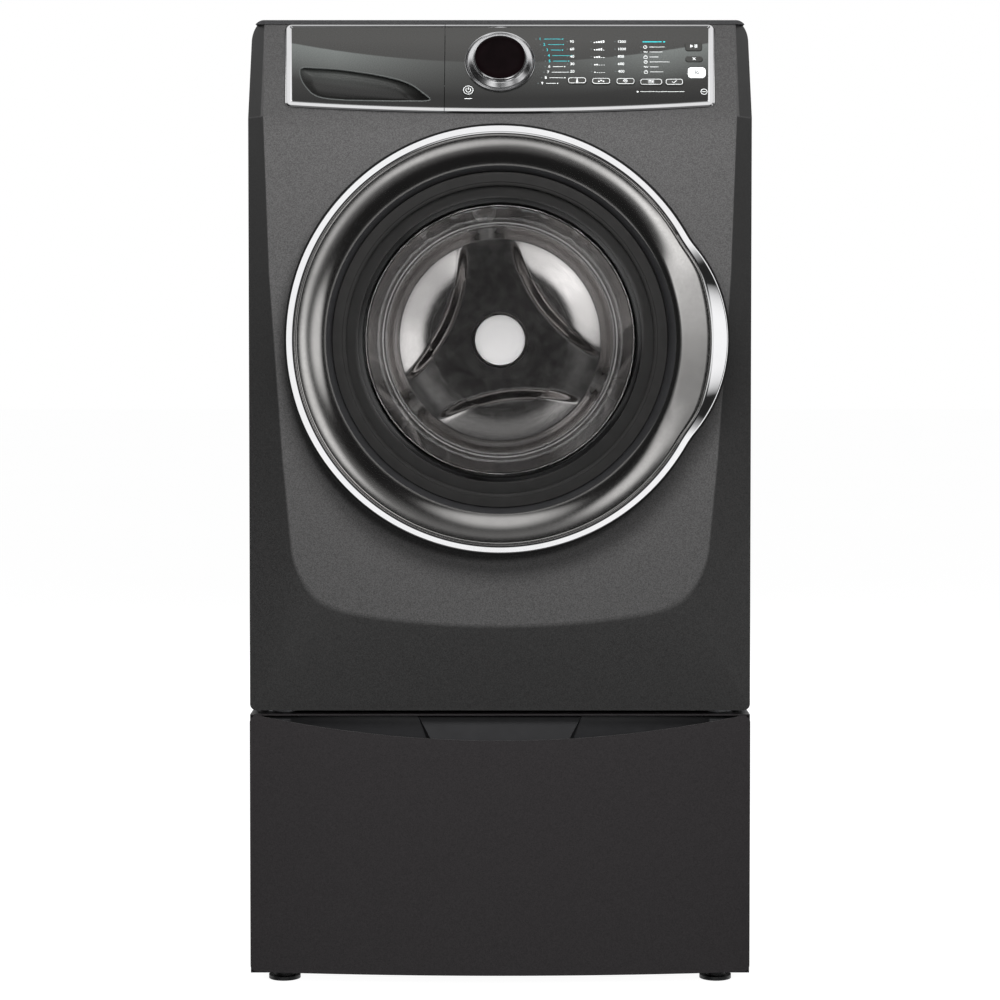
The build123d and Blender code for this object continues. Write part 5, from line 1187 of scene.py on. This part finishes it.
def make_boot():
    """The rubber bellows, with its folds, front lip and three nozzles under its top."""
    mouth, clamp, wall = BOOT_MOUTH, BOOT_CLAMP, BOOT_WALL
    line = [(mouth - 15.5, FRONT - 5.0), (mouth - 2.4, FRONT - 5.0), (mouth - 0.2, FRONT - 2.5)]
    line += [(mouth - 0.2, FRONT + 20), (mouth - 4, FRONT + 25), (mouth - 14, FRONT + 28)]
    line += [(mouth - 16.5, FRONT + 31), (mouth - 12, FRONT + 36), (mouth - 17, FRONT + 41)]
    line += [(mouth - 12, FRONT + 46), (mouth - 11, FRONT + 50), (clamp, FRONT + 58), (clamp, FRONT + 81)]
    outline = [(r - wall * 0.5, y) for r, y in line] + [(r + wall * 0.45, y) for r, y in reversed(line)]
    bends = [0] + [2.2] * (len(line) - 2) + [0]
    surface = turned(rounded(outline, bends * 2, 4), 192)
    boot = piece("boot_bellows", surface, None, "boot_rubber", sharp=60, stands_for=["door_boot"])
    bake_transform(boot)
    section = ((12.5, 3.0), (12.5, -1.0), (11.0, -3.4), (7.0, -4.4), (4.5, -4.2), (4.0, -3.2))
    nozzles = [stud(angle, mouth - 17.5, FRONT + 33, section, 28, 1.15, 0.75) for angle in NOZZLE_ANGLES]
    nozzle_grey = finish("nozzle_grey", (0.38, 0.4, 0.42), 0.5, 0.0, 0.1)
    piece("boot_nozzles", join(*nozzles), "cabinet", "boot_rubber", nozzle_grey, sharp=50)


make_drum()
make_lifters()
make_hub_cap()
make_boot()


# ---- Small fittings ------------------------------------------------------------------------------
SUMP_HOSE_TOP = 612.0
FILL_HOSE_LOW = 1138.5
EDGE_SCREWS = HALF - 14  # how far out the screws along the cabinet's sides sit


def plus(x, z, low, high, reach, half):
    """A cross-shaped mark in X and Z, from one y to another."""
    corner = [(-reach, -half), (-half, -half), (-half, -reach), (half, -reach), (half, -half), (reach, -half)]
    outline = corner + [(-a, -b) for a, b in corner]
    return skin([[(x + a, y, z + b) for a, b in outline] for y in (low, high)], caps=True)


def screws(name, spots, seat, body, radius=4.6):
    """Pan-head screws facing the rear, seated at one y, with their cross slots as black crosses laid over the
    heads: painted shade of the slots.
    """
    heads, slot_shades = [], []
    for x, z in spots:
        dome = [(0.01, seat - 0.5), (radius, seat - 0.5), (radius, seat + 0.6), (radius * 0.88, seat + 1.4)]
        dome += [(radius * 0.55, seat + 1.9), (0.01, seat + 2.0)]
        heads.append(turned(dome, 24, (x, z), closed=False))
        # the black cross over each head is painted shade of its slot
        slot_shades.append(plus(x, z, seat + 1.5, seat + 2.06, radius * 0.52, radius * 0.13))
    piece(name, join(*heads), body, "steel")
    piece(name + "_slot_shades", join(*slot_shades), body, "black_plastic")


def make_rear_fittings():
    """Screws, transit-bolt plugs, hose threads and the cover's pressed rim on the rear."""
    low, high = span("rear_access_cover")
    middle = (low.z + high.z) / 2
    sides = [(x, z) for x in (low.x + 8.5, high.x - 8.5) for z in (low.z + 42, middle, high.z - 42)]
    ends = [(x, z) for x in (low.x + 42, 0.0, high.x - 42) for z in (low.z + 8.5, high.z - 8.5)]
    screws("cover_screws", sides + ends, REAR + 1.2, "cabinet")
    edges = [(x, z) for x in (-EDGE_SCREWS, EDGE_SCREWS) for z in (404.0, 690.0, 980.0, 1270.0)]
    screws("rear_edge_screws", edges, REAR, "cabinet")
    screws("worktop_screws", [(x, WORKTOP - 15) for x in (-250.0, 0.0, 250.0)], REAR, "cabinet")
    feet = [(x, z) for x in (-EDGE_SCREWS, EDGE_SCREWS) for z in (46.0, 200.0, 352.0)]
    screws("pedestal_screws", feet, REAR, "cabinet")
    valve_low, valve_high = span("inlet_valve")
    valve_z = valve_high.z - 32.0
    spots = [(x, valve_z) for x in (valve_low.x + 8, valve_high.x - 8)]
    screws("valve_screws", spots, REAR + 2, "cabinet", 3.6)
    cap = [(0.01, REAR - 0.5), (15, REAR - 0.5), (15, REAR + 0.8), (14, REAR + 1.6), (9.5, REAR + 1.8)]
    cap += [(8.8, REAR + 0.9), (7.6, REAR + 0.9), (7, REAR + 1.8), (0.01, REAR + 2.1)]
    plugs = [turned(cap, 40, (x, z), closed=False) for x in (-264.0, 264.0) for z in (572.0, 1036.0)]
    piece("transit_plugs", join(*plugs), "cabinet", "black_plastic", sharp=30)
    # a pressed bead round the access cover
    path = pill(0.0, 0.0, 2 * high.x - 34.0, high.z - low.z - 34.0, 30.0, 10)
    section = ((-2.6, 1.0), (-1.6, 1.9), (0.0, 2.3), (1.6, 1.9), (2.6, 1.0))
    bead = [[(x, REAR + y, middle + z) for x, z in shrink(path, inset)] for inset, y in section]
    piece("cover_bead", skin(bead, ring=True), "cabinet", "galvanised_steel", sharp=50)
    # rolled threads on the two water inlets
    threads = []
    for x in (valve_low.x + 42.0, valve_high.x - 42.0):
        for k in range(6):
            y = REAR + 7.0 + 2.6 * k
            threads.append(turned([(12.4, y - 0.9), (13.5, y), (12.4, y + 0.9)], 40, (x, valve_z)))
    piece("inlet_threads", join(*threads), "cabinet", "steel", sharp=20)


def make_door_back():
    """Screws and a moulded rib on the back of the door."""
    back = span("door_back_cover")[1].y
    spots = [(x, z) for x, _, z in (spot(angle, 262, back) for angle in range(30, 360, 60))]
    screws("door_back_screws", spots, back, "door", 4.2)
    rib = [(240.0, back - 0.5), (240.4, back + 0.9), (241.2, back + 1.3), (242.0, back + 0.9)]
    rib += [(242.4, back - 0.5)]
    piece("door_back_rib", turned(rib), "door", "black_plastic", frame_black)


def ribbed_hose(name, x, y, low, high, radius, stands_for=()):
    """A soft hose with folds along its middle, standing upright."""
    folds = round((high - low - 20) / 7)
    outer = [(radius, low), (radius, low + 9)]
    for k in range(folds):
        middle = low + 10 + (high - low - 20) * (k + 0.5) / folds
        outer += [(radius - 1.9, middle - 2.4), (radius, middle), (radius - 1.9, middle + 2.4)]
    outer += [(radius, high - 9), (radius, high)]
    inner = [(r - 2.8 if r < radius else r - 2.9, z) for r, z in reversed(outer)]
    loops = [[(x + r * c, y + r * s, z) for c, s in circle(40)] for r, z in outer + inner]
    return piece(name, skin(loops, ring=True), None, "boot_rubber", sharp=60, stands_for=stands_for)


def coil_spring(name, x, y, low, high, radius, stands_for=()):
    """A closely wound tension spring standing upright."""
    wire = 1.7
    steps = 24 * 16
    loops = []
    for k in range(steps + 1):
        angle = TURN * k / 16
        height = low + wire + (high - low - 2 * wire) * k / steps
        loop = []
        for c, s in circle(8):
            r = radius - wire + wire * c
            loop.append((x + r * cos(angle), y + r * sin(angle), height + wire * s))
        loops.append(loop)
    return piece(name, skin(loops, caps=True), None, "spring_steel", sharp=60, stands_for=stands_for)


def make_tub_links():
    """The springs and soft hoses on the tub's suspension, made as fixed upright shapes."""
    low, high = span("suspension_springs")
    middle = (low.y + high.y) / 2
    for side, name in ((1, "spring_right"), (-1, "spring_left")):
        names = ["suspension_springs"] if side > 0 else []
        spring = coil_spring(name, side * (high.x - 10), middle, low.z, high.z, 10.0, names)
        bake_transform(spring)
    low, high = span("tub_hoses")
    sump = ribbed_hose("sump_hose", high.x - 19.3, low.y + 19.3, low.z, SUMP_HOSE_TOP, 19.2, ["tub_hoses"])
    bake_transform(sump)
    fill = ribbed_hose("fill_hose", low.x + 17.3, high.y - 17.3, FILL_HOSE_LOW, high.z, 17.2)
    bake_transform(fill)


make_rear_fittings()
make_door_back()
make_tub_links()


# ---- Stage ---------------------------------------------------------------------------------------
# the room that only reflections see, by the cosine of the angle from straight ahead of the machine:
# (cosine, brightness), both ends first
ROOM = (
    (-1.0, 0.9), (1.0, 0.015), (-0.05, 1.0), (0.08, 0.35), (0.17, 0.02), (0.72, 0.02), (0.83, 0.12),
    (0.93, 0.24), (0.975, 0.03),
)
# soft boxes in that room: azimuth seen from the camera (0 right, 90 up), degrees off straight
# ahead, half-width in degrees, brightness
BOXES = (
    (136.0, 33.0, 9.0, 0.9),
    (204.0, 21.0, 8.0, 0.9),
    (236.0, 20.5, 7.0, 0.85),
    (284.0, 20.5, 7.0, 0.7),
    (314.0, 20.5, 7.0, 0.3),
    (344.0, 21.0, 7.0, 0.4),
    (18.0, 21.0, 8.0, 0.9),
    (40.0, 20.0, 4.0, 0.3),
    (157.0, 20.0, 4.0, 0.5),
    (0.0, 53.0, 12.0, 1.0),
    (90.0, 60.0, 16.0, 0.8),
)
SEEN_WHITE = (1.0, 1.0, 1.0, 1.0)
ROOM_WHITE = (0.97, 0.985, 1.0, 1.0)
ROOM_SOFT = 0.12  # brightness of the room for everything but reflections
FLOOR_SIZE = 30000.0
FLOOR_CORNERS = ((-1, -1), (1, -1), (1, 1), (-1, 1))
FLOOR_LOW = -0.3
CAMERA_AWAY = 3600.0
CAMERA_TILT = radians(2.0)
CAMERA_SHIFT = -0.160
FRAME_WIDTH = 1366.5  # width of the picture at the front of the machine
SENSOR = 36.0


def make_world():
    """White for the camera; a softer room for the rest, with its own map for reflections."""
    world = bpy.data.worlds.new("studio")
    bpy.context.scene.world = world
    world.use_nodes = True
    tree = world.node_tree
    tree.nodes.clear()
    way = node(tree, "TexCoord").outputs["Generated"]
    ahead = calc(tree, "MULTIPLY", node(tree, "SeparateXYZ", way).outputs["Y"], -1.0)
    ramp = node(tree, "ValToRGB", span_map(tree, ahead, 0.0, 1.0, -1.0, 1.0))
    stops = ramp.color_ramp.elements
    for number, (cosine, level) in enumerate(ROOM):
        stop = stops[number] if number < 2 else stops.new((cosine + 1) / 2)
        stop.color = (level, level, level, 1)
    total = ramp.outputs["Color"]
    for azimuth, away, wide, level in BOXES:
        aside = sin(radians(away))
        aim = (aside * cos(radians(azimuth)), -cos(radians(away)), aside * sin(radians(azimuth)))
        near = node(tree, "VectorMath", way, aim, operation="DOT_PRODUCT").outputs["Value"]
        inside = span_map(tree, near, 0.0, level, cos(radians(wide * 1.5)), cos(radians(wide * 0.6)))
        total = node(tree, "MixRGB", 1.0, total, inside, blend_type="ADD").outputs[0]
    mirror = node(tree, "Background", total, 1.0).outputs[0]
    soft = node(tree, "Background", ROOM_WHITE, ROOM_SOFT).outputs[0]
    seen = node(tree, "Background", SEEN_WHITE, 1.0).outputs[0]
    path = node(tree, "LightPath").outputs
    mirrored = calc(tree, "MAXIMUM", path["Is Glossy Ray"], path["Is Transmission Ray"])
    room = node(tree, "MixShader", mirrored, soft, mirror).outputs[0]
    node(tree, "OutputWorld", node(tree, "MixShader", path["Is Camera Ray"], room, seen).outputs[0])


def make_floor():
    """A plain pale floor that the camera sees as white, apart from the machine's shadow."""
    data = bpy.data.meshes.new("studio_floor")
    corners = [Vector((x * FLOOR_SIZE, y * FLOOR_SIZE, FLOOR_LOW)) * MM for x, y in FLOOR_CORNERS]
    data.from_pydata(corners, [], [(0, 1, 2, 3)])
    floor = bpy.data.objects.new("studio_floor", data)
    bpy.context.scene.collection.objects.link(floor)
    material, tree, surface = shader("studio_floor", (0.25, 0.25, 0.25), 0.8, Specular_IOR_Level=0.0)
    shade = tint(tree, grain(tree, 0.6), (0.24, 0.24, 0.24), (0.26, 0.26, 0.26))
    put(tree, surface.inputs["Base Color"], shade)
    glow = node(tree, "Emission", Strength=0.96).outputs[0]
    camera_ray = node(tree, "LightPath").outputs["Is Camera Ray"]
    share = node(tree, "MixShader", camera_ray, None, glow).outputs[0]
    both = node(tree, "AddShader", surface.outputs[0], share).outputs[0]
    put(tree, tree.nodes["Material Output"].inputs["Surface"], both)
    data.materials.append(material)
    floor.visible_glossy = False
    floor.visible_transmission = False


def lamp(name, place, target, wide, tall, watts, spread=180):
    """A rectangular softbox; place and target in millimetres."""
    data = bpy.data.lights.new(name, "AREA")
    data.shape = "RECTANGLE"
    data.size, data.size_y = wide * MM, tall * MM
    data.energy = watts
    data.spread = radians(spread)
    made = bpy.data.objects.new(name, data)
    bpy.context.scene.collection.objects.link(made)
    made.location = Vector(place) * MM
    made.visible_glossy = False
    made.visible_camera = False
    made.visible_transmission = False
    toward = (Vector(target) - Vector(place)) * MM
    made.rotation_euler = toward.to_track_quat("-Z", "Y").to_euler()


def make_camera():
    """Straight on at the door's height, with the whole machine in view."""
    data = bpy.data.cameras.new("camera")
    data.sensor_width = SENSOR
    data.lens = SENSOR * CAMERA_AWAY / FRAME_WIDTH
    data.shift_y = CAMERA_SHIFT + CAMERA_AWAY * tan(CAMERA_TILT) / FRAME_WIDTH
    made = bpy.data.objects.new("camera", data)
    bpy.context.scene.collection.objects.link(made)
    made.location = Vector((0, FRONT + 30 - CAMERA_AWAY, DOOR_Z)) * MM
    made.rotation_euler = (pi / 2 - CAMERA_TILT, 0, 0)
    bpy.context.scene.camera = made


make_world()
make_floor()
make_camera()
lamp("overhead", (0, -1520, 1600), (0, -340, 1150), 900, 600, 35)
lamp("front", (500, -3900, 1550), (0, 0, 900), 800, 600, 72)
lamp("door_light", (0, -1700, DOOR_Z), (0, 0, DOOR_Z), 120, 120, 1.1, spread=14)
lamp("back_left", (-1900, 3300, 1900), (0, 0, 700), 1600, 2000, 60)
lamp("back_right", (1900, 3300, 1900), (0, 0, 700), 1600, 2000, 60)
bpy.context.scene.view_settings.view_transform = "Standard"
